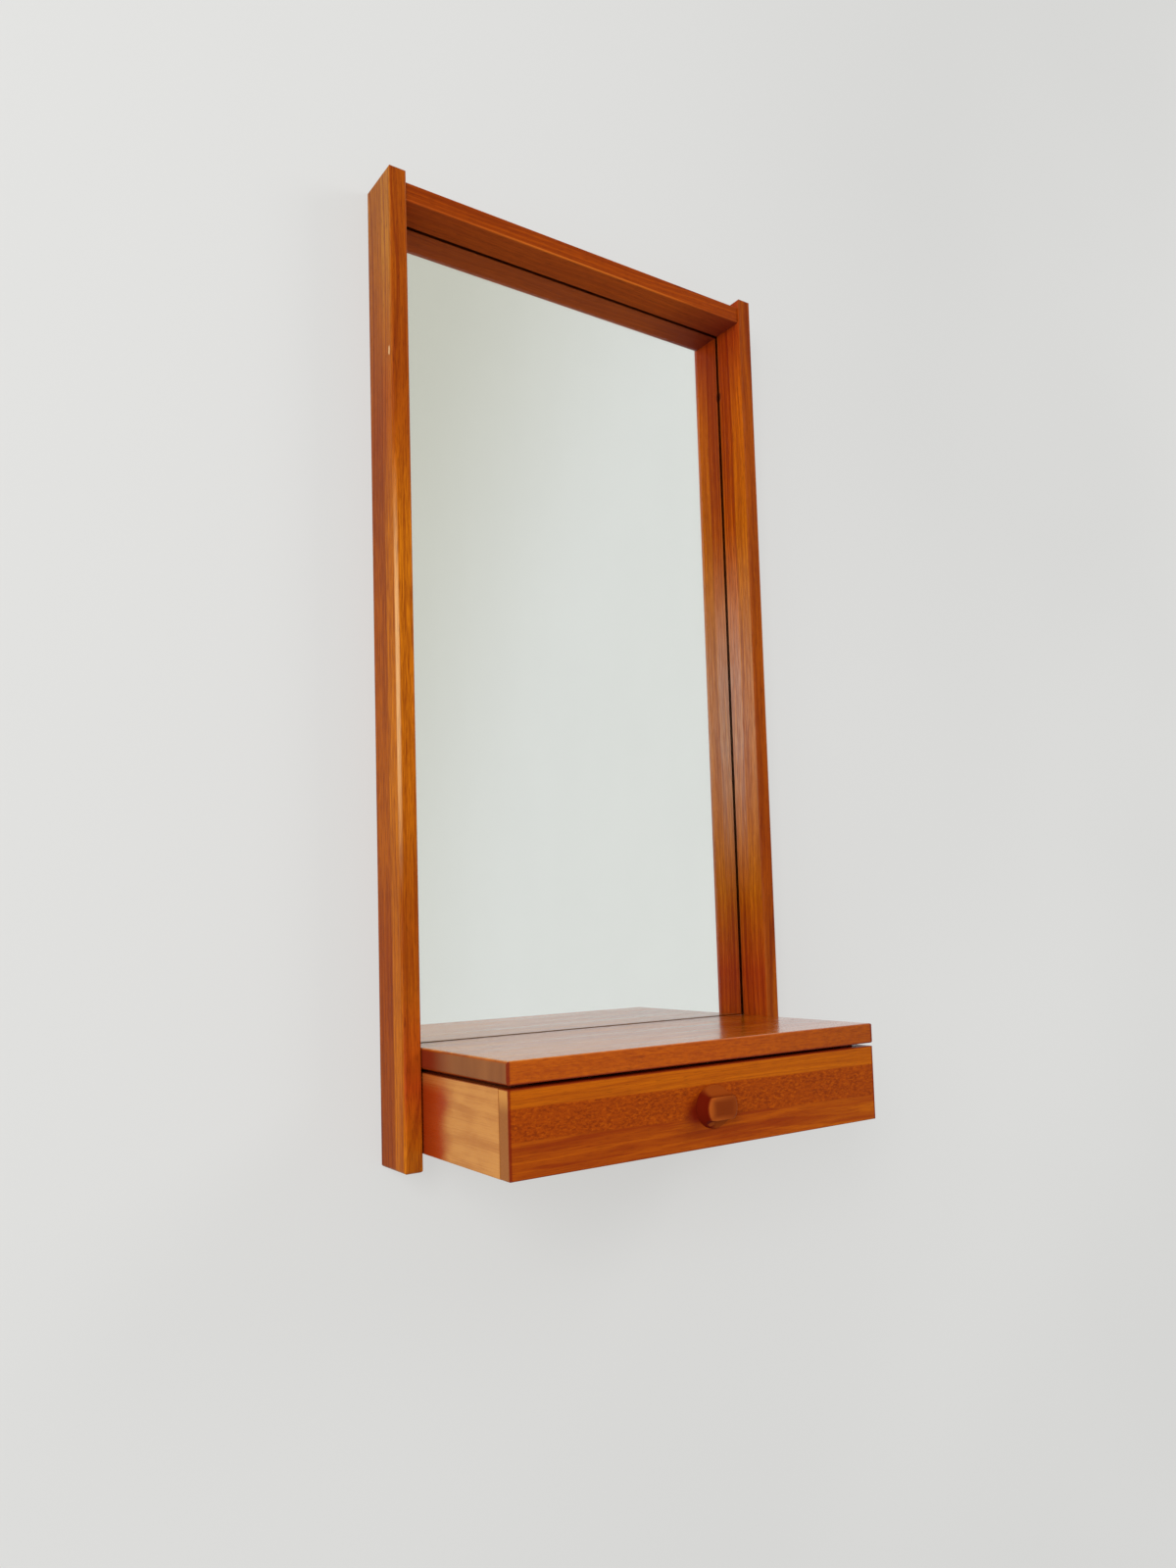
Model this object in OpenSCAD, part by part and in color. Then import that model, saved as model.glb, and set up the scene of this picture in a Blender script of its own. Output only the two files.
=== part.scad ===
// Hall mirror in solid wood with a projecting shelf and one drawer that hangs under it.
// Heights are worked out from the foot of the stiles and then moved, so that the frame's
// origin lies on the wall, half way between the two hanging eyes. The front faces -Y.

/* [Frame] */
// Clear width between the two stiles
opening_w = 360; // [240:1:600]
// Length of a stile
stile_h = 800; // [560:1:1200]
// Width of a stile, seen from the front
stile_w = 15; // [13:0.5:30]
// Depth of a stile, from the wall to its front face
stile_d = 43; // [34:0.5:80]
// Rounding of the stiles' outer front edges and ends
stile_edge_r = 2.5; // [0.5:0.1:3]
// Rounding of the stiles' front edges next to the glass
stile_inner_r = 1; // [0.3:0.1:3]
// Rounding of the stiles' edges at the wall
stile_back_r = 0.5; // [0.3:0.1:2]
// Thickness of the top rail
top_rail_t = 15.5; // [13:0.5:30]
// Distance from the stiles' ends down to the top rail
top_rail_drop = 9; // [0:0.5:40]
// Distance from the stiles' front faces back to the top rail's front
top_rail_setback = 2; // [0:0.5:6]
// Rounding of the top rail's long edges
top_rail_edge_r = 1.2; // [0.3:0.1:3]
// Depth of the bottom rail that carries the shelf, from the wall
bottom_rail_d = 22; // [18:0.5:30]
// Height of the bottom rail
bottom_rail_h = 50; // [30:1:60]
// Diameter of the dowels between the rails and the stiles
frame_dowel_d = 6; // [4:0.5:7]
// Length of those dowels inside the rails
frame_dowel_in_rail = 20; // [12:1:40]
// Wood left between a dowel's end and a stile's outer face
dowel_cover = 6; // [4:0.5:9]

/* [Mirror] */
// Width of the rebate that holds the glass, measured into the stiles, rail and shelf
rebate_w = 6; // [5:0.5:7]
// Thickness of the clear glass
glass_t = 3; // [2:0.1:4]
// Thickness of the silver and its protective paint
silver_t = 0.2; // [0.1:0.05:0.4]
// Depth from the wall to the silver, which sets how deep the rebate is
silver_depth = 6.5; // [5.5:0.1:12]
// Thickness of the hardboard behind the silver
backing_t = 2.5; // [2:0.1:3]
// Space between the glass's edges and the rebate
glass_gap = 1; // [0.5:0.1:2]
// Diameter of the pins that hold the backing
backing_pin_d = 1.2; // [0.8:0.1:1.6]
// Length of those pins
backing_pin_l = 14; // [10:1:16]
// Part of a pin that is driven into the wood
backing_pin_in_wood = 6; // [3:0.5:6]
// Number of pins along each stile
pins_up = 5; // [2:1:8]
// Number of pins along the top rail and along the shelf
pins_across = 3; // [2:1:6]

/* [Shelf] */
// Height of the shelf's top above the foot of the stiles
shelf_top = 93.5; // [85:0.5:200]
// Thickness of the shelf
shelf_t = 16.5; // [14:0.5:24]
// Depth of the shelf, from the wall to its front edge
shelf_d = 171; // [140:1:260]
// Space between each end of the shelf and the stile beside it
shelf_gap = 0.5; // [0.3:0.1:4]
// Rounding of the shelf's end edges
shelf_end_r = 3; // [0.5:0.1:6]
// Rounding of the shelf's front edge
shelf_front_r = 1.4; // [0.4:0.1:4]
// Diameter of the dowels between the bottom rail and the shelf
shelf_dowel_d = 6; // [4:0.5:8]
// Length of those dowels inside the bottom rail
shelf_dowel_in_rail = 20; // [12:1:26]
// Wood left above those dowels in the shelf
shelf_dowel_cover = 5; // [4:0.5:8]
// Number of dowels under the shelf
shelf_dowel_count = 4; // [2:1:8]

/* [Drawer] */
// Height of the drawer front
drawer_front_h = 61; // [52:0.5:70]
// Thickness of the drawer front
drawer_front_t = 13; // [11:0.5:20]
// Space between the shelf's underside and the drawer
drawer_top_gap = 2.5; // [0.8:0.1:4]
// Space between each end of the drawer and the stile beside it
drawer_side_gap = 1.2; // [0.8:0.1:4]
// Rounding of the drawer front's edges
drawer_front_r = 0.9; // [0.3:0.1:3]
// Thickness of the drawer sides and back
drawer_side_t = 10; // [9:0.5:14]
// Rounding of the drawer sides' long edges
drawer_side_r = 0.5; // [0.2:0.1:1.5]
// Thickness of the plywood bottom
drawer_bottom_t = 4; // [3:0.5:6]
// Distance from the drawer's lower edge up to the bottom panel
drawer_bottom_rise = 6; // [4:0.5:10]
// Depth of the grooves that hold the bottom panel
bottom_groove_d = 5; // [3:0.5:5.5]
// Play of the bottom panel in its grooves
panel_play = 0.3; // [0.1:0.1:0.6]
// Space between the closed drawer and the bottom rail
drawer_rear_gap = 3; // [1:0.5:10]
// Diameter of the drawer's dowels
drawer_dowel_d = 5; // [3:0.5:6]
// Length of a drawer dowel
drawer_dowel_l = 20; // [14:1:26]
// Depth of the dowels in the front and in the sides
drawer_dowel_depth = 6; // [4:0.5:7]
// Diameter of the pins under the drawer's back
bottom_pin_d = 1.4; // [1:0.1:2]
// Length of those pins
bottom_pin_l = 18; // [12:1:22]
// Number of those pins
bottom_pin_count = 4; // [2:1:8]

/* [Runners] */
// Width of a runner without its tongue
runner_w = 14; // [12:0.5:24]
// How far a runner's tongue stands out into the drawer side's groove
tongue_reach = 4.5; // [3:0.5:5]
// Thickness of the tongue
tongue_t = 6; // [4:0.5:9]
// Wood left in the drawer side above its groove
groove_cover = 8; // [6:0.5:14]
// Running space above and below the tongue
running_gap = 0.3; // [0.2:0.05:0.6]
// Running space between the tongue and the groove's floor, and beside the runner
groove_end_gap = 0.5; // [0.3:0.1:1]
// Space between the runners' front ends and the drawer front when closed
stop_gap = 0.3; // [0.2:0.1:2]
// Diameter of the runners' screws
runner_screw_d = 3.5; // [3:0.5:4.5]
// Depth of those screws in the shelf
runner_screw_in_shelf = 10; // [6:0.5:12]
// Number of screws in each runner
runner_screw_count = 3; // [2:1:5]

/* [Knob] */
// Diameter of the knob where it meets the drawer front
knob_base_d = 33; // [24:0.5:44]
// Diameter of the knob at its front
knob_front_d = 28; // [20:0.5:40]
// How far the knob stands out
knob_l = 13.5; // [13:0.5:30]
// Thickness of the round rim left at the knob's base
knob_rim_t = 2; // [1:0.5:5]
// Height of the bar between the two coves, at its front
knob_bar_h = 17.5; // [12:0.5:24]
// Radius of the coves cut above and below the bar
knob_cove_r = 9; // [7:0.5:16]
// Rounding of the knob's front edge
knob_edge_r = 1.5; // [0.5:0.1:3]
// Diameter of the knob's screw
knob_screw_d = 4; // [3:0.5:5]
// Depth of that screw in the knob
knob_screw_in_knob = 10; // [6:0.5:12]

/* [Hanging plates] */
// Length of a corner plate's two straight sides
plate_leg = 44; // [40:1:60]
// Thickness of the plate, sunk flush into the frame's back
plate_t = 1.2; // [1:0.1:2]
// Distance from the plate to the outer face of the stile
plate_inset = 1.5; // [1:0.5:3]
// Rounding of the plate's corners
plate_corner_r = 3; // [1:0.5:3.5]
// Space around the plate in its recess
plate_play = 0.2; // [0.1:0.1:0.5]
// Diameter of the eye that the wall hook goes through
eye_d = 7; // [6:0.5:8]
// Distance from the rebate's side wall in to the eye
eye_in = 9.5; // [6:0.5:12]
// Distance from the rebate's upper wall down to the eye
eye_down = 7.5; // [6:0.5:12]
// Diameter of the plates' screws
plate_screw_d = 2.5; // [2:0.5:3]
// Distance from the rebate's walls out to those screws
plate_screw_out = 3; // [2.5:0.5:3.5]
// Length of those screws
plate_screw_l = 14; // [10:1:20]

/* [Hidden] */
$fn = 48;

// How far a cutting shape runs past the face that it opens
past = 1;
// A screw's head is this many times its diameter across, and its slot this wide and deep
head_ratio = 2;
slot_ratio = 0.25;

// Frame: x is measured from the middle, y from the wall, z from the foot of the stiles
half_opening = opening_w / 2;
top_rail_top = stile_h - top_rail_drop;
top_rail_bottom = top_rail_top - top_rail_t;
top_rail_d = stile_d - top_rail_setback;
shelf_bottom = shelf_top - shelf_t;
bottom_rail_top = shelf_bottom;
bottom_rail_bottom = bottom_rail_top - bottom_rail_h;
dowel_in_stile = stile_w - dowel_cover;

// Mirror: the rebate is as deep as the glass and everything behind it needs
rebate_d = silver_depth + glass_t;
rebate_x = half_opening + rebate_w;
rebate_top = top_rail_bottom + rebate_w;
rebate_bottom = shelf_top - rebate_w;
glass_half_w = rebate_x - glass_gap;
glass_h = rebate_top - rebate_bottom - glass_gap;
backing_front = silver_depth - silver_t;
backing_back = backing_front - backing_t;
pin_y = backing_back - backing_pin_d / 2;

// Shelf and drawer
shelf_half_w = half_opening - shelf_gap;
shelf_dowel_y = (rebate_d + bottom_rail_d) / 2;
shelf_dowel_in_shelf = shelf_t - shelf_dowel_cover;
drawer_half_w = half_opening - drawer_side_gap;
drawer_inner_x = drawer_half_w - drawer_side_t;
drawer_top = shelf_bottom - drawer_top_gap;
drawer_foot = drawer_top - drawer_front_h;
drawer_front_back = shelf_d - drawer_front_t;
drawer_rear = bottom_rail_d + drawer_rear_gap;
drawer_side_l = drawer_front_back - drawer_rear;
panel_floor = drawer_foot + drawer_bottom_rise;
panel_top = panel_floor + drawer_bottom_t;
panel_half_w = drawer_inner_x + bottom_groove_d - panel_play;
panel_front = drawer_front_back + bottom_groove_d - panel_play;

// Runners: the tongue lies in the drawer side's groove with the running gaps around it
tongue_top = drawer_top - groove_cover - running_gap;
runner_foot = tongue_top - tongue_t;
tongue_tip_x = drawer_inner_x + tongue_reach;
groove_floor_x = tongue_tip_x + groove_end_gap;
runner_outer_x = drawer_inner_x - groove_end_gap;
runner_front = drawer_front_back - stop_gap;
runner_l = runner_front - bottom_rail_d;
runner_h = shelf_bottom - runner_foot;
runner_screw_l = runner_h + runner_screw_in_shelf;
drawer_back_top = runner_foot - 2 * running_gap;
drawer_back_h = drawer_back_top - panel_top;
dowel_low = panel_top + drawer_back_h / 4;
dowel_high = panel_top + drawer_back_h * 3 / 4;

// Knob
knob_z = drawer_top - drawer_front_h / 2;
knob_screw_l = drawer_front_t + knob_screw_in_knob;
cove_y = knob_rim_t + knob_cove_r;
cove_z = knob_bar_h / 2 + sqrt(pow(knob_cove_r, 2) - pow(min(knob_l - cove_y, knob_cove_r - 1), 2));

// Hanging plates
plate_outer_x = half_opening + stile_w - plate_inset;
plate_top = top_rail_top - plate_inset;
eye_x = rebate_x - eye_in;
eye_z = rebate_top - eye_down;
stile_screw_x = rebate_x + plate_screw_out;
rail_screw_z = rebate_top + plate_screw_out;
plate_screw_in = plate_corner_r + plate_screw_d * head_ratio / 2 + 1;
plate_screws = [[stile_screw_x, rail_screw_z],
    [stile_screw_x, plate_top - plate_leg + 2 * plate_screw_in],
    [plate_outer_x - plate_leg + 2 * plate_screw_in, rail_screw_z]];

// Moves a piece from heights above the stiles' feet to heights from the hanging eyes
module hung() {
    translate([0, 0, -eye_z]) children();
}

// Roundings of four edges, from one that they share or a list
function four(r) = is_list(r) ? r : [r, r, r, r];

// Rectangle in the first quadrant with true round corners, r going round them from the origin
module round_rect(w, h, r) {
    if (max(r) <= 0) {
        square([w, h]);
    } else {
        centres = [[r[0], r[0]], [w - r[1], r[1]], [w - r[2], h - r[2]], [r[3], h - r[3]]];
        polygon([[r[0], 0], [w - r[1], 0], [w, r[1]], [w, h - r[2]],
            [w - r[2], h], [r[3], h], [0, h - r[3]], [0, r[0]]]);
        for (i = [0 : 3]) translate(centres[i]) circle(r = r[i]);
    }
}

// Board with its edges eased: r_x along X, r_y along Y and r_z along Z, none where 0.
// Each is one rounding or a list of four, the first one the edge at the front, left or foot.
// The board fills x 0 to w, y -d to 0 and z 0 to h.
module eased_board(w, d, h, r_x = 0, r_y = 0, r_z = 0) {
    intersection() {
        translate([0, -d, 0]) linear_extrude(height = h) round_rect(w, d, four(r_z));
        if (max(four(r_y)) > 0) {
            rotate([90, 0, 0]) linear_extrude(height = d) round_rect(w, h, four(r_y));
        }
        if (max(four(r_x)) > 0) {
            translate([0, -d, 0]) rotate([90, 0, 90]) linear_extrude(height = w) round_rect(d, h, four(r_x));
        }
    }
}

// Solid or cutting block between two corners
module block(low, high) {
    translate(low) cube(high - low);
}

// Rods along +X and +Y from the point where they stand
module rod_x(d, l) {
    rotate([0, 90, 0]) cylinder(d = d, h = l);
}

module rod_y(d, l) {
    rotate([-90, 0, 0]) cylinder(d = d, h = l);
}

// Countersunk, slotted wood screw along +Z, with its head's face at z = 0
module wood_screw(d, l) {
    head_h = d * (head_ratio - 1) / 2;
    difference() {
        union() {
            cylinder(d1 = d * head_ratio, d2 = d, h = head_h);
            translate([0, 0, head_h]) cylinder(d = d, h = l - head_h - d);
            translate([0, 0, l - d]) cylinder(d1 = d, d2 = d / 5, h = d);
        }
        block([-d * head_ratio, -d * slot_ratio / 2, -past],
            [d * head_ratio, d * slot_ratio / 2, d * slot_ratio]);
    }
}

// The hole that such a screw fills
module screw_hole(d, l) {
    head_h = d * (head_ratio - 1) / 2;
    cylinder(d1 = d * head_ratio, d2 = d, h = head_h);
    cylinder(d = d, h = l);
}

// ---- Frame ----

module frame_dowel_places(side) {
    for (share = [0.3, 0.75]) {
        y = rebate_d + (top_rail_d - rebate_d) * share;
        translate([side * half_opening, -y, top_rail_bottom + top_rail_t / 2]) children();
    }
}

module bottom_dowel_places(side) {
    for (z = [bottom_rail_h * 0.25, bottom_rail_h * 0.75]) {
        translate([side * half_opening, -bottom_rail_d / 2, bottom_rail_bottom + z]) children();
    }
}

module frame_dowel(side) {
    translate([-(side > 0 ? frame_dowel_in_rail : dowel_in_stile), 0, 0])
        rod_x(frame_dowel_d, frame_dowel_in_rail + dowel_in_stile);
}

// A pin's place and direction in each stile, from the rebate's wall outwards
module stile_pin_places() {
    for (i = [1 : pins_up]) {
        z = rebate_bottom + (rebate_top - rebate_bottom) * (i - 0.5) / pins_up;
        translate([rebate_x, -pin_y, z]) children();
    }
}

module across_pin_places() {
    for (i = [1 : pins_across]) {
        x = opening_w * ((i - 0.5) / pins_across - 0.5);
        translate([x, -pin_y, 0]) children();
    }
}

// The stile on the right; the left one is its mirror image
module stile() {
    color([0.62, 0.33, 0.16])
    hung() difference() {
        translate([half_opening, 0, 0])
            eased_board(stile_w, stile_d, stile_h,
                r_x = [stile_edge_r, stile_back_r, stile_back_r, stile_edge_r],
                r_y = stile_edge_r,
                r_z = [stile_inner_r, stile_edge_r, stile_back_r, stile_back_r]);
        block([half_opening - past, -rebate_d, rebate_bottom], [rebate_x, past, rebate_top]);
        frame_dowel_places(1) frame_dowel(1);
        bottom_dowel_places(1) frame_dowel(1);
        stile_pin_places() rod_x(backing_pin_d, backing_pin_in_wood);
        plate_recess();
        plate_screw_places() screw_hole(plate_screw_d, plate_screw_l);
    }
}

module left_stile() {
    mirror([1, 0, 0]) stile();
}

module right_stile() {
    stile();
}

module top_rail() {
    color([0.55, 0.27, 0.12])
    hung() difference() {
        translate([-half_opening, 0, top_rail_bottom])
            eased_board(opening_w, top_rail_d, top_rail_t, r_x = top_rail_edge_r);
        block([-half_opening - past, -rebate_d, top_rail_bottom - past],
            [half_opening + past, past, rebate_top]);
        for (side = [-1, 1]) frame_dowel_places(side) frame_dowel(side);
        across_pin_places() translate([0, 0, rebate_top]) cylinder(d = backing_pin_d, h = backing_pin_in_wood);
        for (side = [0, 1]) mirror([side, 0, 0]) {
            plate_recess();
            plate_screw_places() screw_hole(plate_screw_d, plate_screw_l);
        }
    }
}

module bottom_rail() {
    color([0.55, 0.27, 0.12])
    hung() difference() {
        translate([-half_opening, 0, bottom_rail_bottom])
            eased_board(opening_w, bottom_rail_d, bottom_rail_h, r_x = top_rail_edge_r);
        for (side = [-1, 1]) bottom_dowel_places(side) frame_dowel(side);
        shelf_dowel_places() shelf_dowel();
    }
}

module top_rail_dowels() {
    color([0.80, 0.66, 0.45])
    hung() for (side = [-1, 1]) frame_dowel_places(side) frame_dowel(side);
}

module bottom_rail_dowels() {
    color([0.80, 0.66, 0.45])
    hung() for (side = [-1, 1]) bottom_dowel_places(side) frame_dowel(side);
}

// ---- Shelf ----

module shelf_dowel_places() {
    for (i = [1 : shelf_dowel_count]) {
        x = opening_w * ((i - 0.5) / shelf_dowel_count - 0.5);
        translate([x, -shelf_dowel_y, bottom_rail_top]) children();
    }
}

module shelf_dowel() {
    translate([0, 0, -shelf_dowel_in_rail])
        cylinder(d = shelf_dowel_d, h = shelf_dowel_in_rail + shelf_dowel_in_shelf);
}

module shelf_board() {
    color([0.68, 0.33, 0.10])
    hung() difference() {
        translate([-shelf_half_w, 0, shelf_bottom])
            eased_board(2 * shelf_half_w, shelf_d, shelf_t, shelf_front_r, shelf_end_r, shelf_front_r);
        block([-half_opening, -rebate_d, rebate_bottom], [half_opening, past, shelf_top + past]);
        shelf_dowel_places() shelf_dowel();
        across_pin_places() translate([0, 0, rebate_bottom - backing_pin_in_wood])
            cylinder(d = backing_pin_d, h = backing_pin_in_wood);
        for (side = [-1, 1]) runner_screw_places(side) screw_hole(runner_screw_d, runner_screw_l);
    }
}

module shelf_dowels() {
    color([0.80, 0.66, 0.45])
    hung() shelf_dowel_places() shelf_dowel();
}

// ---- Mirror ----

// Sheet as wide and high as the glass, between two depths from the wall
module sheet(front, back) {
    hung() block([-glass_half_w, -front, rebate_bottom], [glass_half_w, -back, rebate_bottom + glass_h]);
}

module mirror_glass() {
    color([0.75, 0.85, 0.80, 0.5]) sheet(rebate_d, silver_depth);
}

module mirror_silvering() {
    color([0.85, 0.87, 0.88]) sheet(silver_depth, backing_front);
}

module backing_board() {
    color([0.42, 0.27, 0.16]) sheet(backing_front, backing_back);
}

module backing_pins() {
    out = backing_pin_l - backing_pin_in_wood;
    color([0.62, 0.62, 0.60])
    hung() {
        for (side = [0, 1]) mirror([side, 0, 0]) stile_pin_places()
            translate([-out, 0, 0]) rod_x(backing_pin_d, backing_pin_l);
        across_pin_places() {
            translate([0, 0, rebate_top - out]) cylinder(d = backing_pin_d, h = backing_pin_l);
            translate([0, 0, rebate_bottom - backing_pin_in_wood])
                cylinder(d = backing_pin_d, h = backing_pin_l);
        }
    }
}

// ---- Hanging plates, drawn at the right-hand corner ----

// Three-cornered plate: the straight sides follow the stile and the rail
module plate_outline(play) {
    near = -plate_corner_r;
    far = plate_corner_r - plate_leg;
    r = plate_corner_r + play;
    slant = r / sqrt(2);
    translate([plate_outer_x, plate_top]) {
        polygon([[near, near + r], [far, near + r], [far - slant, near - slant],
            [near - slant, far - slant], [near + r, far], [near + r, near]]);
        for (p = [[near, near], [far, near], [near, far]]) translate(p) circle(r = r);
    }
}

module plate_recess() {
    translate([0, past, 0]) rotate([90, 0, 0])
        linear_extrude(height = plate_t + past) plate_outline(plate_play);
}

module plate_screw_places() {
    for (p = plate_screws) translate([p[0], 0, p[1]]) rotate([90, 0, 0]) children();
}

module hanger_plate() {
    color([0.72, 0.70, 0.62])
    hung() difference() {
        rotate([90, 0, 0]) linear_extrude(height = plate_t) plate_outline(0);
        translate([eye_x, -plate_t - past, eye_z]) rod_y(eye_d, plate_t + 2 * past);
        plate_screw_places() screw_hole(plate_screw_d, plate_screw_l);
    }
}

module left_hanger_plate() {
    mirror([1, 0, 0]) hanger_plate();
}

module right_hanger_plate() {
    hanger_plate();
}

module hanger_screws() {
    color([0.72, 0.70, 0.62])
    hung() for (side = [0, 1]) mirror([side, 0, 0])
        plate_screw_places() wood_screw(plate_screw_d, plate_screw_l);
}

// ---- Runners ----

module runner_screw_places(side) {
    for (i = [1 : runner_screw_count]) {
        y = bottom_rail_d + runner_l * (i - 0.5) / runner_screw_count;
        translate([side * (runner_outer_x - runner_w / 2), -y, runner_foot]) children();
    }
}

// Strip under the shelf with a tongue at its foot that stands out into the drawer side
module runner() {
    color([0.78, 0.62, 0.40])
    hung() difference() {
        union() {
            block([runner_outer_x - runner_w, -runner_front, runner_foot],
                [runner_outer_x, -bottom_rail_d, shelf_bottom]);
            block([runner_outer_x - past, -runner_front, runner_foot],
                [tongue_tip_x, -bottom_rail_d, tongue_top]);
        }
        runner_screw_places(1) screw_hole(runner_screw_d, runner_screw_l);
    }
}

module left_runner() {
    mirror([1, 0, 0]) runner();
}

module right_runner() {
    runner();
}

module runner_screws() {
    color([0.72, 0.70, 0.62])
    hung() for (side = [-1, 1]) runner_screw_places(side) wood_screw(runner_screw_d, runner_screw_l);
}

// ---- Drawer ----

// Dowels from the drawer front into a side, and from a side into the back
module front_dowel_places(side) {
    for (z = [dowel_low, dowel_high]) {
        translate([side * (drawer_inner_x + drawer_side_t / 2),
            -drawer_front_back - drawer_dowel_depth, z]) children();
    }
}

module back_dowel_places(side) {
    for (z = [dowel_low, dowel_high]) {
        translate([side * (drawer_inner_x + drawer_dowel_depth), -drawer_rear - drawer_side_t / 2, z])
            rotate([0, side > 0 ? -90 : 90, 0]) children();
    }
}

module drawer_front() {
    color([0.66, 0.31, 0.10])
    hung() difference() {
        translate([-drawer_half_w, -drawer_front_back, drawer_foot])
            eased_board(2 * drawer_half_w, drawer_front_t, drawer_front_h,
                drawer_front_r, drawer_front_r, drawer_front_r);
        block([-panel_half_w - panel_play, -drawer_front_back - bottom_groove_d, panel_floor],
            [panel_half_w + panel_play, -drawer_front_back + past, panel_top + panel_play]);
        for (side = [-1, 1]) front_dowel_places(side) rod_y(drawer_dowel_d, drawer_dowel_l);
        knob_screw_place() screw_hole(knob_screw_d, knob_screw_l);
    }
}

// The side on the right, with the runner's groove and the bottom's groove
module drawer_side() {
    color([0.76, 0.50, 0.27])
    hung() difference() {
        translate([drawer_inner_x, -drawer_rear, drawer_foot])
            eased_board(drawer_side_t, drawer_side_l, drawer_front_h, r_y = drawer_side_r);
        block([drawer_inner_x - past, -drawer_front_back - past, runner_foot - running_gap],
            [groove_floor_x, -drawer_rear + past, tongue_top + running_gap]);
        block([drawer_inner_x - past, -drawer_front_back - past, panel_floor],
            [drawer_inner_x + bottom_groove_d, -drawer_rear + past, panel_top + panel_play]);
        front_dowel_places(1) rod_y(drawer_dowel_d, drawer_dowel_l);
        back_dowel_places(1) cylinder(d = drawer_dowel_d, h = drawer_dowel_l);
    }
}

module left_drawer_side() {
    mirror([1, 0, 0]) drawer_side();
}

module right_drawer_side() {
    drawer_side();
}

module drawer_back() {
    color([0.80, 0.64, 0.42])
    hung() difference() {
        translate([-drawer_inner_x, -drawer_rear, panel_top])
            eased_board(2 * drawer_inner_x, drawer_side_t, drawer_back_h, r_x = drawer_side_r);
        for (side = [-1, 1]) back_dowel_places(side) cylinder(d = drawer_dowel_d, h = drawer_dowel_l);
        bottom_pin_places() cylinder(d = bottom_pin_d, h = bottom_pin_l);
    }
}

module drawer_bottom() {
    color([0.84, 0.70, 0.48])
    hung() difference() {
        block([-panel_half_w, -panel_front, panel_floor], [panel_half_w, -drawer_rear, panel_top]);
        bottom_pin_places() cylinder(d = bottom_pin_d, h = bottom_pin_l);
    }
}

module drawer_dowels() {
    color([0.80, 0.66, 0.45])
    hung() for (side = [-1, 1]) {
        front_dowel_places(side) rod_y(drawer_dowel_d, drawer_dowel_l);
        back_dowel_places(side) cylinder(d = drawer_dowel_d, h = drawer_dowel_l);
    }
}

module bottom_pin_places() {
    for (i = [1 : bottom_pin_count]) {
        x = 2 * drawer_inner_x * ((i - 0.5) / bottom_pin_count - 0.5);
        translate([x, -drawer_rear - drawer_side_t / 2, panel_floor]) children();
    }
}

module drawer_bottom_pins() {
    color([0.62, 0.62, 0.60])
    hung() bottom_pin_places() cylinder(d = bottom_pin_d, h = bottom_pin_l);
}

// ---- Knob ----

module knob_screw_place() {
    translate([0, -drawer_front_back, knob_z]) rotate([90, 0, 0]) children();
}

// Turned blank along +Z: a slow taper with a rounded front edge
module knob_blank() {
    tip = knob_front_d / 2;
    rotate_extrude() {
        polygon([[0, 0], [knob_base_d / 2, 0], [tip, knob_l - knob_edge_r],
            [tip - knob_edge_r, knob_l - knob_edge_r], [tip - knob_edge_r, knob_l], [0, knob_l]]);
        intersection() {
            translate([tip - knob_edge_r, knob_l - knob_edge_r]) circle(r = knob_edge_r);
            translate([tip - knob_edge_r, knob_l - knob_edge_r]) square(knob_edge_r);
        }
    }
}

// Round knob with a cove cut above and below, so that a level bar is left to pull on
module knob() {
    color([0.58, 0.30, 0.12])
    hung() difference() {
        translate([0, -shelf_d, knob_z]) rotate([90, 0, 0]) knob_blank();
        for (side = [-1, 1]) {
            translate([-knob_base_d, -shelf_d - cove_y, knob_z + side * cove_z])
                rod_x(2 * knob_cove_r, 2 * knob_base_d);
        }
        knob_screw_place() screw_hole(knob_screw_d, knob_screw_l);
    }
}

module knob_screw() {
    color([0.72, 0.70, 0.62])
    hung() knob_screw_place() wood_screw(knob_screw_d, knob_screw_l);
}

left_stile();
right_stile();
top_rail();
bottom_rail();
top_rail_dowels();
bottom_rail_dowels();
shelf_board();
shelf_dowels();
mirror_glass();
mirror_silvering();
backing_board();
backing_pins();
left_hanger_plate();
right_hanger_plate();
hanger_screws();
left_runner();
right_runner();
runner_screws();
drawer_front();
left_drawer_side();
right_drawer_side();
drawer_back();
drawer_bottom();
drawer_dowels();
drawer_bottom_pins();
knob();
knob_screw();
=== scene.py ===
"""Hall mirror in teak with a shelf and one drawer under it: the finishes of its woods, glass and
metal, its turned knob, and the pale studio in which it hangs on a wall."""
import math

import bpy
import numpy as np
from bpy.props import FloatProperty, FloatVectorProperty, IntProperty, PointerProperty
from mathutils import Matrix, Vector


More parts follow.
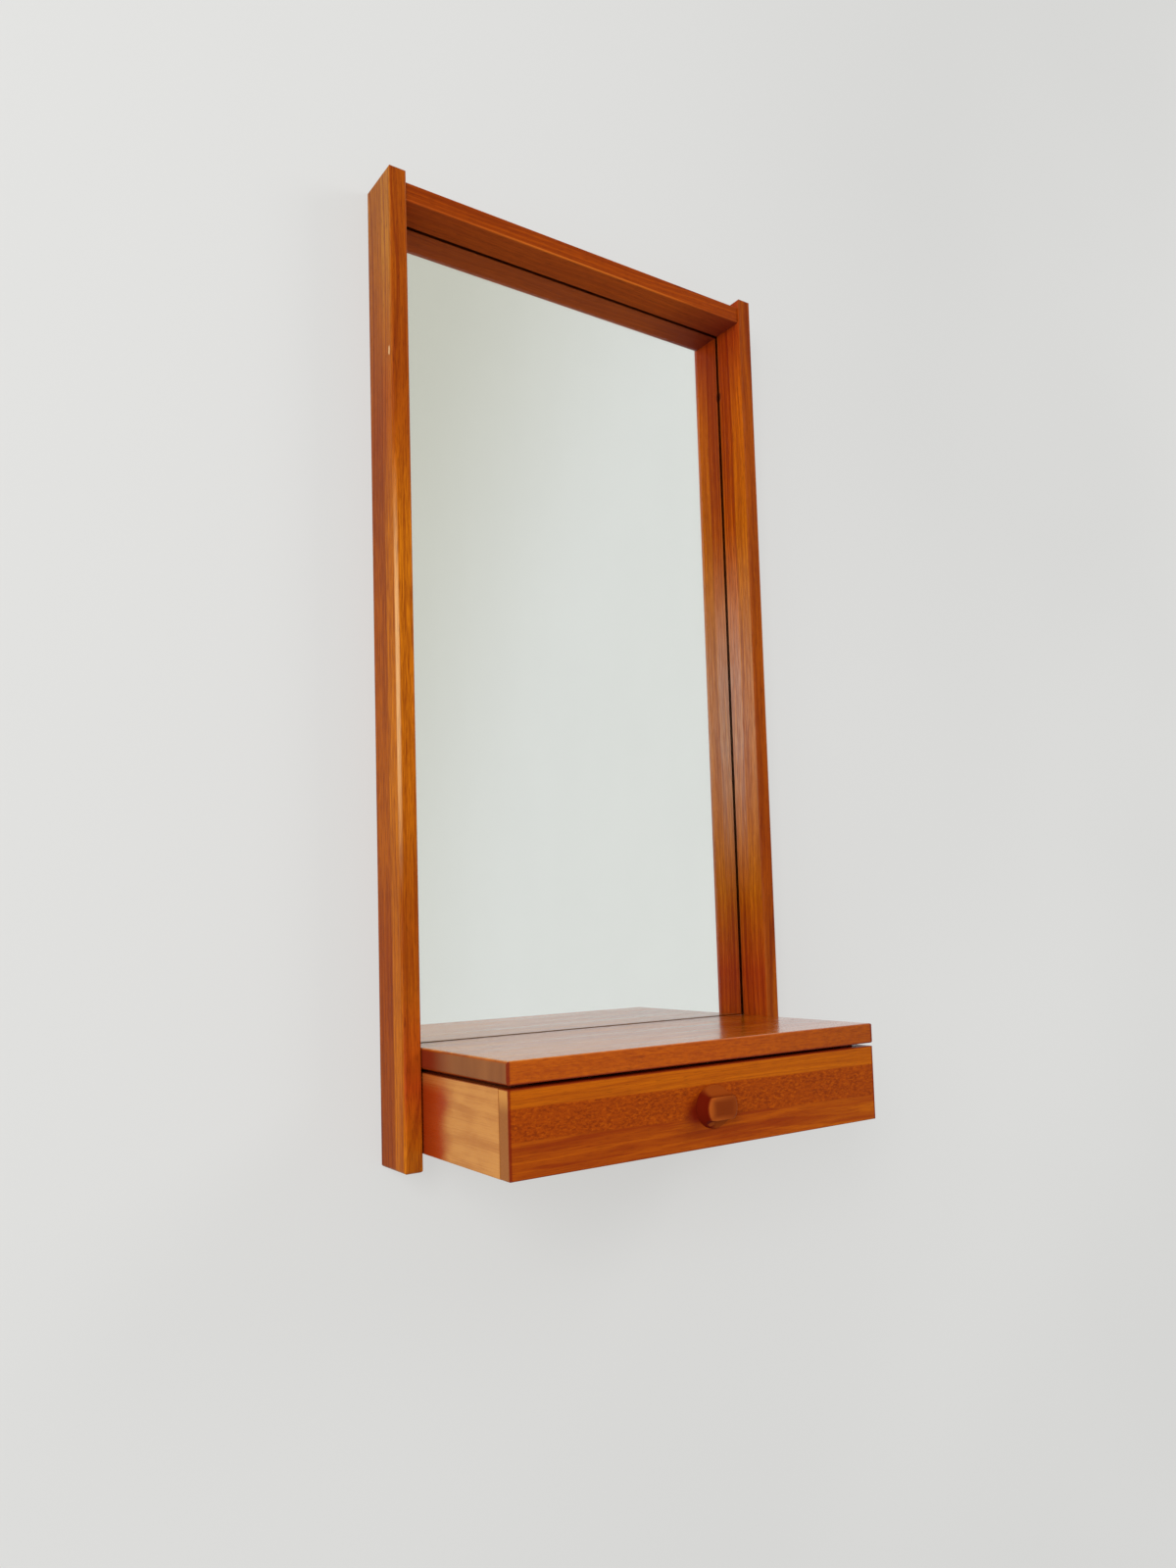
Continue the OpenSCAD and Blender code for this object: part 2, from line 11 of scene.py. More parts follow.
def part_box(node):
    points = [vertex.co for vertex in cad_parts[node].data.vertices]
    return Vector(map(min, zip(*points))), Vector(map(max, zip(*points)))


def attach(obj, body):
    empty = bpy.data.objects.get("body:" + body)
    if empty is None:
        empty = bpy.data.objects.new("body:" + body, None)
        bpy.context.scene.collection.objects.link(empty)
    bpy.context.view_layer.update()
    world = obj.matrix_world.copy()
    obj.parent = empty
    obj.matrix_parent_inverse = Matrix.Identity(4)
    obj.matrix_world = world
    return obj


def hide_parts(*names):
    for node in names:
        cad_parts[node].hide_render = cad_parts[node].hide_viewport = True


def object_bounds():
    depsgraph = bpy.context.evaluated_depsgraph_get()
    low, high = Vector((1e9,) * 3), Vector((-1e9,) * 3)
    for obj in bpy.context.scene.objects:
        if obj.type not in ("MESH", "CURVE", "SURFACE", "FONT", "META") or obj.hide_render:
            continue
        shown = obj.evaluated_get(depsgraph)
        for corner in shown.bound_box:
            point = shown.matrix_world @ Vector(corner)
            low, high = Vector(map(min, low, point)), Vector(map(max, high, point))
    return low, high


bl_info = {
    "name": "Hall Mirror with Drawer",
    "version": (1, 0, 0),
    "blender": (4, 5, 0),
    "location": "3D View > Sidebar > Hall Mirror",
    "description": "Finishes the packed hall mirror, turns its knob and sets its studio",
    "category": "Object",
}

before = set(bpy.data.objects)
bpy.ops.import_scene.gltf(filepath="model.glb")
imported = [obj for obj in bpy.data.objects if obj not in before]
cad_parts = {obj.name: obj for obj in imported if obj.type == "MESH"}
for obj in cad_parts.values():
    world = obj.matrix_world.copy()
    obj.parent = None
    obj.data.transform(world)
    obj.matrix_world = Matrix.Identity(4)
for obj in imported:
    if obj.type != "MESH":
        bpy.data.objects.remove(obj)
PACKED_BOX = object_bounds()
MM = 0.001
LACQUER = 1.14  # the index of refraction of a thin, dull coat
MOST_TINT = 5   # a colour ramp holds no more than 1, so tints are divided by this and multiplied again

# Turns that lay the grain, which is the pattern's X, along one of the object's axes
GRAIN_X = (0.0, 0.0, 0.0)
GRAIN_Y = (0.0, 0.0, math.radians(90))
GRAIN_Z = (0.0, math.radians(-90), 0.0)


def chart(red, green, blue):
    """Scene-linear colour of a paint chart's value from 0 to 255."""
    share = np.array([red, green, blue]) / 255
    linear = np.where(share <= 0.04045, share / 12.92, ((share + 0.055) / 1.055) ** 2.4)
    return tuple(round(float(v), 5) for v in linear)


def blend(first, second, share_of_second):
    """A constant colour between two others."""
    return [a + (b - a) * share_of_second for a, b in zip(first, second)]


def shade(tone, by):
    """A constant colour made darker or lighter."""
    return [by * value for value in tone]


def colour(name, description, red, green, blue):
    """A colour that the sidebar shows."""
    return FloatVectorProperty(name=name, description=description, subtype="COLOR", size=3,
                               min=0.0, max=1.0, default=chart(red, green, blue))


def length(name, description, millimetres):
    """A length that the sidebar shows, given in millimetres and kept in metres."""
    return FloatProperty(name=name, description=description, unit="LENGTH", subtype="DISTANCE",
                         min=0.0, default=millimetres * MM)


def share(name, description, value, top=1.0):
    """A plain number from nought to top."""
    return FloatProperty(name=name, description=description, subtype="FACTOR", min=0.0, max=top,
                         default=value)


def power(name, description, watts):
    """The power of a lamp."""
    return FloatProperty(name=name, description=description, subtype="POWER", min=0.0, default=watts)


# ---- What a user would change ----

class WoodColours(bpy.types.PropertyGroup):
    """Dark and light tones of each wood."""
    stile_dark: colour("Stile, dark", "Darker lines of the stiles", 136, 54, 10)
    stile_light: colour("Stile, light", "Lighter wood of the stiles", 178, 88, 13)
    stile_rear: colour("Stile, rear strip", "Tint of the strip next to the wall", 238, 224, 222)
    # Painted light: the next colour stands for lamp light on the left stile, the one after for its highlight on
    # the arris
    stile_lit: colour("Stile, painted light", "Yellow pool of painted lamp light half way up the left stile", 196, 116, 16)
    stile_highlight: colour("Stile, painted highlight", "Painted highlight on the outer arris where the left stile is lit", 236, 190, 132)
    rail_dark: colour("Rail, dark", "Darker lines of the rails", 136, 56, 11)
    rail_light: colour("Rail, light", "Lighter wood of the rails", 178, 86, 15)
    rail_bead: colour("Rail, bright arris", "Bright lower arris of the top rail", 226, 128, 44)
    shelf_dark: colour("Shelf, dark", "Darker lines of the shelf", 150, 60, 9)
    shelf_light: colour("Shelf, light", "Lighter wood of the shelf", 194, 96, 12)
    front_dark: colour("Drawer front, dark", "Flecked middle strip", 138, 52, 10)
    front_light: colour("Drawer front, light", "Plain upper strip", 196, 104, 12)
    front_end: colour("Drawer front, end", "End grain of the drawer front", 168, 104, 54)
    side_dark: colour("Drawer side, dark", "Darker curls of the drawer sides", 174, 100, 38)
    side_light: colour("Drawer side, light", "Lighter wood of the drawer sides", 216, 149, 74)
    # Painted shade: the dark red on the drawer sides next to the stiles
    side_shade: colour("Drawer side, red", "Dark red painted shade on the sides next to the stiles", 160, 50, 5)
    knob_dark: colour("Knob, dark", "Darker lines of the knob", 104, 36, 10)
    knob_light: colour("Knob, light", "Lighter wood of the knob", 150, 66, 18)
    beech_dark: colour("Beech, dark", "Flecks of the runners, dowels and drawer back", 178, 126, 82)
    beech_light: colour("Beech, light", "Ground of the runners, dowels and drawer back", 218, 178, 132)
    ply_dark: colour("Plywood, dark", "Darker lines of the drawer bottom", 190, 148, 100)
    ply_light: colour("Plywood, light", "Lighter wood of the drawer bottom", 226, 194, 148)
    pore: colour("Pores", "Open pores of the teak", 78, 26, 8)
    rebate: colour("Rebates", "Wood behind the glass", 214, 120, 44)
    # Painted reflection: a pale haze of lamp light that the glass throws on the right stile
    mirrored_haze: colour("Mirrored haze", "Painted reflection of lamp light from the glass on the right stile's inner side", 240, 240, 240)
    # Painted shade: dark red and its red bounce light on the drawer's top edge in the gap under the shelf
    gap_red: colour("Gap red", "Dark red painted shade on the drawer's top edge, in the gap under the shelf", 158, 46, 14)
    # Painted shade: this dark red stands for shade beside the stiles, under the shelf, round the knob and on
    # its left flank
    oil: colour("Red shade", "Dark red painted shade beside the stiles, under the shelf, round the knob and on its flank", 116, 22, 8)
    bare: colour("Bare wood", "A chip in the left stile's arris", 214, 168, 118)
    shelf_end: colour("Shelf, end", "End grain of the shelf", 124, 70, 36)
    knob_cove: colour("Knob, coves", "Oiled coves above and below the knob's bar", 152, 68, 18)
    # Painted shade: the runners are made dark red-brown because they are seen in the shaded gap under the shelf
    runner_dark: colour("Runner, dark", "Oil that has soaked into the runners", 84, 22, 10)
    runner_light: colour("Runner, light", "Runners between the oiled patches", 136, 52, 22)
    # Painted highlight: the paler colour on the knob's front edges and lower cove
    knob_highlight: colour("Knob, highlight", "Painted highlight on the rounded edges of the knob's front and on its lower cove", 178, 88, 30)
    residue: colour("Residue", "Specks of old cleaner on the shelf next to the right stile", 236, 226, 214)


class GrainSizes(bpy.types.PropertyGroup):
    """Sizes of the figure in the wood."""
    ring: length("Ring width", "Mean width of a growth ring", 3.2)
    fibre_width: length("Fibre width", "Width of a coarse fibre streak", 1.2)
    fibre_length: length("Fibre length", "Length of a coarse fibre streak", 80)
    pore_width: length("Pore width", "Width of an open pore", 0.45)
    pore_length: length("Pore length", "Length of an open pore", 9)
    dash_width: length("Dash width", "Width of a dark dash in the grain", 0.9)
    dash_length: length("Dash length", "Length of a dark dash in the grain", 18)
    arris: length("Worn arris", "Width of the worn line along an edge", 1.1)


class MirrorFinish(bpy.types.PropertyGroup):
    """Glass, silver, board and metal."""
    glass: colour("Glass", "Tint of the clear glass", 253, 255, 254)
    silver: colour("Silver", "Colour that the silver reflects", 250, 250, 249)
    tarnish: colour("Tarnish", "Silver's colour at its edges", 150, 138, 118)
    hardboard: colour("Hardboard", "Backing board", 112, 72, 42)
    plate: colour("Plate steel", "Hanging plates", 176, 170, 156)
    screw: colour("Screw steel", "Screws and pins", 182, 176, 160)
    rust: colour("Rust", "Specks on the plates and screws", 112, 58, 28)


class KnobSizes(bpy.types.PropertyGroup):
    """The turned knob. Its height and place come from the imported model."""
    front_share: share("Front", "Front diameter as a share of the base's", 28 / 33)
    rim: length("Rim", "Thickness of the round rim at the base", 2.0)
    bar: length("Bar", "Height of the bar at its front", 17.5)
    cove: length("Cove", "Radius of the coves above and below the bar", 9.0)
    edge: length("Edge", "Rounding of the front edge", 1.5)
    worn: length("Worn edges", "How softly the coves meet the rest", 0.5)
    around: IntProperty(name="Points around", description="Grid points round the axis",
                        default=240, min=24, max=400)
    along: IntProperty(name="Points along", description="Grid points from the front to the base",
                       default=150, min=24, max=300)


class Studio(bpy.types.PropertyGroup):
    """Wall, floor, lamps and the room that shiny faces show."""
    wall: colour("Wall", "Painted wall behind the mirror", 226, 226, 224)
    floor: colour("Floor", "Plain floor", 214, 213, 209)
    room: colour("Room", "What the mirror shows", 227, 227, 225)
    room_far: colour("Room, far side", "What the mirror shows towards its left", 203, 201, 190)
    floor_drop: length("Floor", "Height of the origin above the floor", 1950)
    wall_gap: length("Wall gap", "Space between the frame and the wall", 0.8)
    above: share("Light from above", "Strength of the even light from above", 0.40, 4.0)
    below: share("Light from below", "Strength of the even light from below", 0.47, 4.0)
    key: power("Key", "Power of the soft lamp at the left", 26.0)
    fill: power("Fill", "Power of the soft lamp at the right", 22.0)
    side: power("Side", "Power of the wide lamp at the far left", 18.0)
    rear: power("Rear", "Power of the soft lamp behind", 24.0)
    focal_px: FloatProperty(name="Focal length", description="In pixels of the 1200 by 1600 frame",
                            default=1149.06, min=100.0)
    centre_v: FloatProperty(name="Optical centre", description="Pixels from the frame's top",
                            default=856.3, min=0.0, max=1600.0)


# ---- Nodes ----

class Pattern:
    """Adds nodes to one tree. Each method returns an output socket, so a pattern reads as a formula."""

    def __init__(self, tree):
        self.tree = tree
        tree.nodes.clear()

    def put(self, kind, **settings):
        node = self.tree.nodes.new(kind)
        for name, value in settings.items():
            setattr(node, name, value)
        return node

    def feed(self, socket, value):
        """Links a socket, or sets a number, a place or a colour on it."""
        if isinstance(value, bpy.types.NodeSocket):
            self.tree.links.new(value, socket)
        else:
            socket.default_value = (*value[:3], 1.0) if socket.type == "RGBA" else value

    def made(self, node, values, output=0):
        """Feeds a node's inputs in order and returns one of its outputs."""
        for socket, value in zip(node.inputs, values):
            self.feed(socket, value)
        return node.outputs[output]

    def math(self, operation, *values):
        return self.made(self.put("ShaderNodeMath", operation=operation), values)

    def add(self, first, *rest):
        for value in rest:
            first = self.math("ADD", first, value)
        return first

    def times(self, first, *rest):
        for value in rest:
            first = self.math("MULTIPLY", first, value)
        return first

    def less(self, first, second):
        return self.math("SUBTRACT", first, second)

    def weigh(self, *pairs):
        """The sum of values, each times its weight."""
        return self.add(*(self.times(value, weight) for value, weight in pairs))

    def rest(self, share_taken):
        """What a share leaves of 1."""
        return self.less(1.0, share_taken)

    def size(self, value):
        """A value without its sign."""
        return self.math("ABSOLUTE", value)

    def sway(self, noise, reach):
        """Noise about its middle, as a shift to both sides."""
        return self.times(self.less(noise, 0.5), reach)

    def split(self, vector):
        node = self.put("ShaderNodeSeparateXYZ")
        self.feed(node.inputs[0], vector)
        return tuple(node.outputs)

    def join(self, x, y, z):
        return self.made(self.put("ShaderNodeCombineXYZ"), (x, y, z))

    def scaled(self, vector, factors):
        return self.made(self.put("ShaderNodeVectorMath", operation="MULTIPLY"), (vector, factors))

    def reach(self, vector):
        """A vector's length."""
        return self.made(self.put("ShaderNodeVectorMath", operation="LENGTH"), (vector,), "Value")

    def noise(self, vector, detail=2.0, roughness=0.5, distortion=0.0, along=None):
        """Noise of a vector, or of one value when along is given."""
        node = self.put("ShaderNodeTexNoise", noise_dimensions="1D" if along else "3D")
        self.feed(node.inputs["W" if along else "Vector"], along or vector)
        for name, value in (("Scale", 1.0), ("Detail", detail), ("Roughness", roughness),
                            ("Distortion", distortion)):
            node.inputs[name].default_value = value
        return node.outputs[0]

    def spread(self, value, low, high, to_low=0.0, to_high=1.0):
        """A smooth step between low and high."""
        node = self.put("ShaderNodeMapRange", interpolation_type="SMOOTHSTEP")
        return self.made(node, (value, low, high, to_low, to_high))

    def mix(self, factor, first, second, blend_type="MIX"):
        node = self.put("ShaderNodeMix", data_type="RGBA", blend_type=blend_type)
        for index, value in ((0, factor), (6, first), (7, second)):
            self.feed(node.inputs[index], value)
        return node.outputs[2]

    def lay(self, base, over, *shares):
        """One colour laid over another, as thickly as the product of the shares."""
        return self.mix(self.times(*shares), base, over)

    def stained(self, base, tint, where=1.0):
        """A colour times a tint, where a mask says."""
        return self.mix(where, base, self.mix(1.0, base, tint, "MULTIPLY"))

    def ramp(self, factor, stops):
        """Colours at positions: stops is a list of (position, colour)."""
        node = self.put("ShaderNodeValToRGB")
        line = node.color_ramp.elements
        for index, (position, value) in enumerate(stops):
            stop = line[index] if index < 2 else line.new(position)
            stop.position = position
            stop.color = (*value[:3], 1.0)
        return self.made(node, (factor,))

    def here(self):
        """The place in the object, in metres."""
        return self.put("ShaderNodeTexCoord").outputs["Object"]

    def place(self, centre, **about):
        """Object coordinates, centred on a point and turned or scaled about it."""
        mapping = self.put("ShaderNodeMapping", vector_type="TEXTURE")
        self.feed(mapping.inputs["Vector"], self.here())
        for name, value in (("Location", centre), *about.items()):
            mapping.inputs[name].default_value = value
        return mapping.outputs[0]

    def near(self, centre, millimetres):
        """1 within an ellipsoid round a point of the object, ragged at its edge."""
        size = self.reach(self.place(centre, Scale=shade(millimetres, MM)))
        ragged = self.noise(self.scaled(self.here(), (700, 700, 300)), 2.0)
        return self.spread(self.add(size, self.times(ragged, 0.8)), 1.5, 1.1)

    def bump(self, height, depth, strength):
        """The normal of a surface with a relief."""
        node = self.put("ShaderNodeBump")
        for name, value in (("Strength", strength), ("Distance", depth), ("Height", height)):
            self.feed(node.inputs[name], value)
        return node.outputs[0]

    def output(self, shader, kind="ShaderNodeOutputMaterial"):
        self.feed(self.put(kind).inputs["Surface"], shader)

    def surface(self, base, roughness, height=None, depth=0.1 * MM, strength=0.5, **constants):
        """A Principled shader with constants on its own sockets, and the material's output."""
        shader = self.put("ShaderNodeBsdfPrincipled")
        for name, value in (("Base Color", base), ("Roughness", roughness), *constants.items()):
            self.feed(shader.inputs[name.replace("_", " ")], value)
        if height is not None:
            self.feed(shader.inputs["Normal"], self.bump(height, depth, strength))
        self.output(shader.outputs[0])
        return shader


def new_pattern(name):
    """A new material and the pattern that fills it."""
    material = bpy.data.materials.new(name)
    material.use_nodes = True
    return material, Pattern(material.node_tree)


def wear(node, material):
    """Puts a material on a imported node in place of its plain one."""
    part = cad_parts[node]
    for slot in part.material_slots:
        slot.material = material


def middle(node):
    """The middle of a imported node's box."""
    low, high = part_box(node)
    return (low + high) / 2


class Board(Pattern):
    """The pattern of one board of teak or a like wood, as a solid that the board is cut from.

    Growth rings lie round a pith line beside the board, the radius wanders slowly along the grain,
    and fibres and pores are noise drawn out along it. An end cut across the grain shows the rings
    as arcs and the pores as dots, and is darker.
    """

    def __init__(self, name, node, turn, seed, pith, slope=0.0, ring=1.0, wander=1.0):
        self.material = bpy.data.materials.new(name)
        self.material.use_nodes = True
        super().__init__(self.material.node_tree)
        sizes = bpy.context.scene.hall_grain
        self.low, self.high = low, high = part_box(node)
        turned = Matrix.Rotation(turn[1], 3, "Y") @ Matrix.Rotation(turn[2], 3, "Z")
        self.half = [abs(v) for v in turned.transposed() @ ((high - low) / 2)]
        self.right, self.deep, self.up = self.split(self.here())
        at = self.place((low + high) / 2, Rotation=turn)
        self.x, self.y, self.z = self.split(at)
        shift = (seed * 3.7, seed * 1.9, seed * 2.3)
        self.moved = self.made(self.put("ShaderNodeVectorMath", operation="ADD"), (at, shift))

        stray = self.add(self.sway(self.speckle((2.2, 11, 11)), 0.03 * wander),
                         self.sway(self.speckle((9, 60, 60)), 0.004 * wander))
        across = self.add(self.y, self.times(self.x, slope), pith[0])
        through = self.add(self.z, pith[1])
        radius = self.math("SQRT", self.add(self.times(across, across), self.times(through, through)))
        radius = self.add(radius, stray)
        bands = 1 / (sizes.ring * ring)
        self.rings = self.noise(None, 4.0, 0.62, along=self.add(self.times(radius, bands), seed))
        season = self.math("FRACT", self.add(self.times(radius, bands * 0.7), self.times(self.rings, 0.8)))
        self.late = self.spread(season, 0.55, 0.98)
        self.fibres = self.drawn(sizes.fibre_length, sizes.fibre_width, 3.0, 0.6)
        self.fine = self.drawn(sizes.fibre_length, sizes.fibre_width, 2.0, 0.6, finer=4)
        self.pores = self.spread(self.drawn(sizes.pore_length, sizes.pore_width, 1.0), 0.58, 0.70)
        self.dashes = self.spread(self.drawn(sizes.dash_length, sizes.dash_width, 2.0, 0.6), 0.52, 0.66)
        self.cloud = self.speckle((5, 26, 26), 3.0, 0.55)
        self.end = self.spread(self.size(self.x), self.half[0] - 0.9 * MM, self.half[0] - 0.15 * MM)
        self.arris = self.edge_mask(sizes.arris)

    def speckle(self, scale, detail=2.0, roughness=0.5, distortion=0.0):
        """Noise along, across and through this board, finer as each scale grows."""
        return self.noise(self.scaled(self.moved, scale), detail, roughness, distortion)

    def drawn(self, long, width, detail, roughness=0.5, finer=1):
        """Noise drawn out along the grain."""
        return self.speckle((finer / long, finer / width, finer / width), detail, roughness)

    def by(self, face, none, full):
        """0 at none millimetres from a face of the board's box, and 1 at full millimetres from it."""
        place, edge, inward = {
            "front": (self.deep, self.low.y, 1), "rear": (self.deep, self.high.y, -1),
            "under": (self.up, self.low.z, 1), "top": (self.up, self.high.z, -1),
            "left": (self.right, self.low.x, 1), "right": (self.right, self.high.x, -1),
        }[face]
        return self.spread(place, edge + inward * none * MM, edge + inward * full * MM)

    def by_ends(self, none, full):
        """The same at both the left and the right face, for a board in the middle of the mirror."""
        return self.spread(self.size(self.right), self.high.x - none * MM, self.high.x - full * MM)

    def tinted(self, base, place, stops, mask=1.0):
        """The wood's colour times a tint that follows a place: stops are (millimetres, tint), where
        (1, 1, 1) leaves the wood as it is, and mask says where the tint counts."""
        first, last = stops[0][0], stops[-1][0]
        share_of_way = self.times(self.add(place, -first * MM), 1 / ((last - first) * MM))
        line = [((at - first) / (last - first), [v / MOST_TINT for v in tint]) for at, tint in stops]
        tint = self.scaled(self.ramp(share_of_way, line), (MOST_TINT,) * 3)
        return self.mix(mask, base, tint, "MULTIPLY")

    def edge_mask(self, width):
        """1 along the board's edges, broken up by noise: the second least distance to its faces."""
        gaps = [self.less(size, self.size(value)) for size, value in zip(self.half, (self.x, self.y, self.z))]
        near = self.math("MINIMUM", gaps[0], gaps[1])
        far = self.math("MAXIMUM", gaps[0], gaps[1])
        second = self.math("MAXIMUM", near, self.math("MINIMUM", far, gaps[2]))
        rough = self.speckle((45, 160, 160), 3.0, 0.6)
        reach = self.spread(rough, 0.3, 0.7, width * 0.5, width * 1.6)
        return self.rest(self.spread(second, 0.0, reach))

    def tone(self, rings=0.45, fibres=0.3, fine=0.2, cloud=0.3):
        """The board's lightness from 0 to 1, from its rings, fibres and slow clouds."""
        total = rings + fibres + fine + cloud
        mixed = self.weigh((self.rings, rings / total), (self.fibres, fibres / total),
                           (self.fine, fine / total), (self.cloud, cloud / total))
        return self.spread(mixed, 0.41, 0.59)

    def teak(self, tone, dark, light, pore, late=0.2, dashes=0.26, pores=0.4, end=0.6):
        """Colour of the wood: a ramp of its tone, darker in late wood, dashes, pores and end grain."""
        base = self.mix(tone, dark, light)
        base = self.lay(base, dark, self.late, late)
        base = self.lay(base, shade(dark, 0.62), self.dashes, dashes)
        base = self.lay(base, pore, self.pores, pores)
        return self.lay(base, self.mix(0.5, base, pore), self.end, end)

    def height(self):
        """Relief of the finish: fibres stand up a little and pores are open."""
        return self.less(self.weigh((self.fibres, 0.5), (self.fine, 0.5)), self.times(self.pores, 0.8))

    def gloss(self, low, high):
        """Roughness from low to high, with duller fibres, pores and arrises."""
        rough = self.spread(self.weigh((self.fibres, 0.6), (self.cloud, 0.4)), 0.35, 0.65, low, high)
        return self.add(rough, self.times(self.pores, 0.12), self.times(self.arris, 0.06))

    def finished(self, base, smooth, rough, relief, strength, duller=(), **constants):
        """The board's material, from its colour, its least and most roughness and the relief in
        millimetres. What duller holds is added to the roughness."""
        roughness = self.add(self.gloss(smooth, rough), *duller)
        self.surface(base, roughness, self.height(), depth=relief * MM, strength=strength, **constants)
        return self.material


# ---- Woods ----

# Places on the object, in millimetres
CHIP = (-195, -37.7, -128)     # in the left stile's outer arris
KNOT = (180, -9.6, -61.4)      # in the right stile's inner side
HAZE_HEIGHT = -385            # where the painted reflection of lamp light on the right stile's inner side is strongest
KNOB_SHADOW = (-15, -733)         # middle of the painted shadow that the knob casts on the drawer front, to its left
LIT_MIDDLE = 16               # how far below a stile's middle its painted pool of lamp light is strongest
STRIP_START = (-4.1, -3.3)     # across a stile from its middle: where the darker strip at the wall begins
INNER_FACE = (188, 187)        # from the mirror's middle: where a stile's outer part ends
GLASS_BACK = (-10.1, -9.7)     # from the wall: where a stile's rebate begins
RESIDUE = ((166.8, -15.5, 1.2), (168.5, -18.5, 0.9), (161.0, -16.0, 0.8), (172.5, -13.8, 1.0))  # last: size

# Painted light and shade on the stiles, as tints that are shares of the wood's red, green and blue: paler where
# more lamp light falls, darker where less reaches
PLAIN = (1.0, 1.0, 0.8)
PALE = (1.4, 1.8, 1.2)
RED = (1.2, 0.8, 1.6)
WARM = (1.6, 1.6, 1.2)
BROWN = (0.85, 0.75, 0.6)
DARK = (0.7, 0.5, 0.3)
PALE_GREY = (1.2, 2.0, 4.5)
LIGHTEST = (1.8, 3.0, 2.2)

# Where each tint lies, in millimetres of height: on a stile's front, on the fore part of the side that
# shows, and on that side's strip at the wall
STILE_TINTS = {
    "left": (
        ((-760, PALE), (-710, RED), (-640, PLAIN), (-540, BROWN), (-300, PLAIN), (-150, BROWN), (-40, PLAIN)),
        ((-620, PALE), (-550, PLAIN), (-160, PLAIN), (-40, PALE_GREY)),
        ((-600, PLAIN), (-260, BROWN), (-200, PLAIN), (0, PALE_GREY)),
    ),
    "right": (
        ((-700, PLAIN), (-600, BROWN), (-520, DARK), (-300, BROWN)),
        ((-760, PLAIN), (-640, RED), (-560, PALE), (-300, PALE), (-80, WARM), (-10, RED)),
        ((-760, PLAIN), (-640, RED), (-560, PALE), (-400, LIGHTEST), (-200, WARM), (-10, RED)),
    ),
}


def stile_wood(side, seed, lit_share):
    """Straight-grained teak, glued up of a darker strip at the wall and a lighter one in front. Half way
    up, as far as the stile's share says, the wood carries a painted pool of lamp light, paler and more
    yellow, and its outer front arris a painted highlight. Tints of painted light and shade change with
    height on each face."""
    tones = bpy.context.scene.hall_wood
    board = Board(f"stile_teak_{side}", f"{side}_stile", GRAIN_Z, seed, pith=(0.085, 0.03), slope=0.004,
                  ring=1.1)
    base = board.teak(board.tone(), tones.stile_dark, tones.stile_light, tones.pore)
    # Painted light: half way up, the wood is paler and more yellow where the lamp light falls, with its own
    # grain
    off_middle = board.size(board.add(board.x, LIT_MIDDLE * MM))
    lit_patch = board.times(board.spread(off_middle, 220 * MM, 110 * MM), lit_share)
    flame = board.spread(board.weigh((board.fine, 0.5), (board.fibres, 0.3), (board.cloud, 0.2)), 0.42, 0.58)
    lit_grain = board.mix(flame, blend(tones.stile_dark, tones.stile_lit, 0.2), shade(tones.stile_lit, 1.4))
    lit_grain = board.lay(lit_grain, tones.stile_dark, board.dashes, 0.4)
    base = board.mix(lit_patch, base, board.mix(0.2, lit_grain, base))

    wavy = board.sway(board.cloud, 3 * MM)
    rear = board.spread(board.add(board.y, wavy), *shade(STRIP_START, MM))
    base = board.stained(base, tones.stile_rear, rear)
    front = board.by("front", 1.6, 0.3)
    sides = board.rest(front)
    inward = board.spread(board.size(board.right), *shade(INNER_FACE, MM))
    shown = board.rest(inward) if side == "left" else inward
    fore = board.times(sides, board.rest(rear), shown)
    back = board.times(sides, rear, shown)
    # Painted light and shade: each face is tinted paler or darker with height
    for mask, stops in zip((front, fore, back), STILE_TINTS[side]):
        base = board.tinted(base, board.add(board.up, board.times(wavy, 2.0)), stops, mask)

    base = board.lay(base, tones.stile_light, board.arris, 0.3)
    # Painted highlight: the lamp's glint along the outer front arris, where that light falls
    highlight_mask = board.times(board.by(side, 3.2, 1.4), board.by("front", 3.2, 1.4),
                       board.spread(off_middle, 190 * MM, 40 * MM), lit_share)
    base = board.lay(base, tones.stile_highlight, highlight_mask, board.add(0.4, board.times(board.fine, 0.7)))
    base = board.lay(base, tones.rebate, board.spread(board.deep, *shade(GLASS_BACK, MM)), inward, 0.3)
    if side == "left":
        base = board.mix(board.near(shade(CHIP, MM), (1.5, 1.6, 4)), base, tones.bare)
    else:
        base = board.lay(base, tones.pore, board.near(shade(KNOT, MM), (2, 2.2, 4.5)), 0.8)
        # Painted reflection: pale streaky haze of lamp light thrown by the glass, strongest at one height
        off_haze = board.size(board.add(board.up, board.times(wavy, 6.0), -HAZE_HEIGHT * MM))
        streaky = board.spread(board.fine, 0.3, 0.7, 0.45, 1.55)
        base = board.lay(base, tones.mirrored_haze, board.spread(off_haze, 190 * MM, 10 * MM), sides, streaky,
                         board.add(0.1, board.times(rear, 0.1)))
    return board.finished(base, 0.26, 0.38, 0.12, 0.35, IOR=LACQUER, Coat_Roughness=0.16, Coat_IOR=1.4,
                          Coat_Weight=board.times(board.edge_mask(2.2 * MM), 0.45))


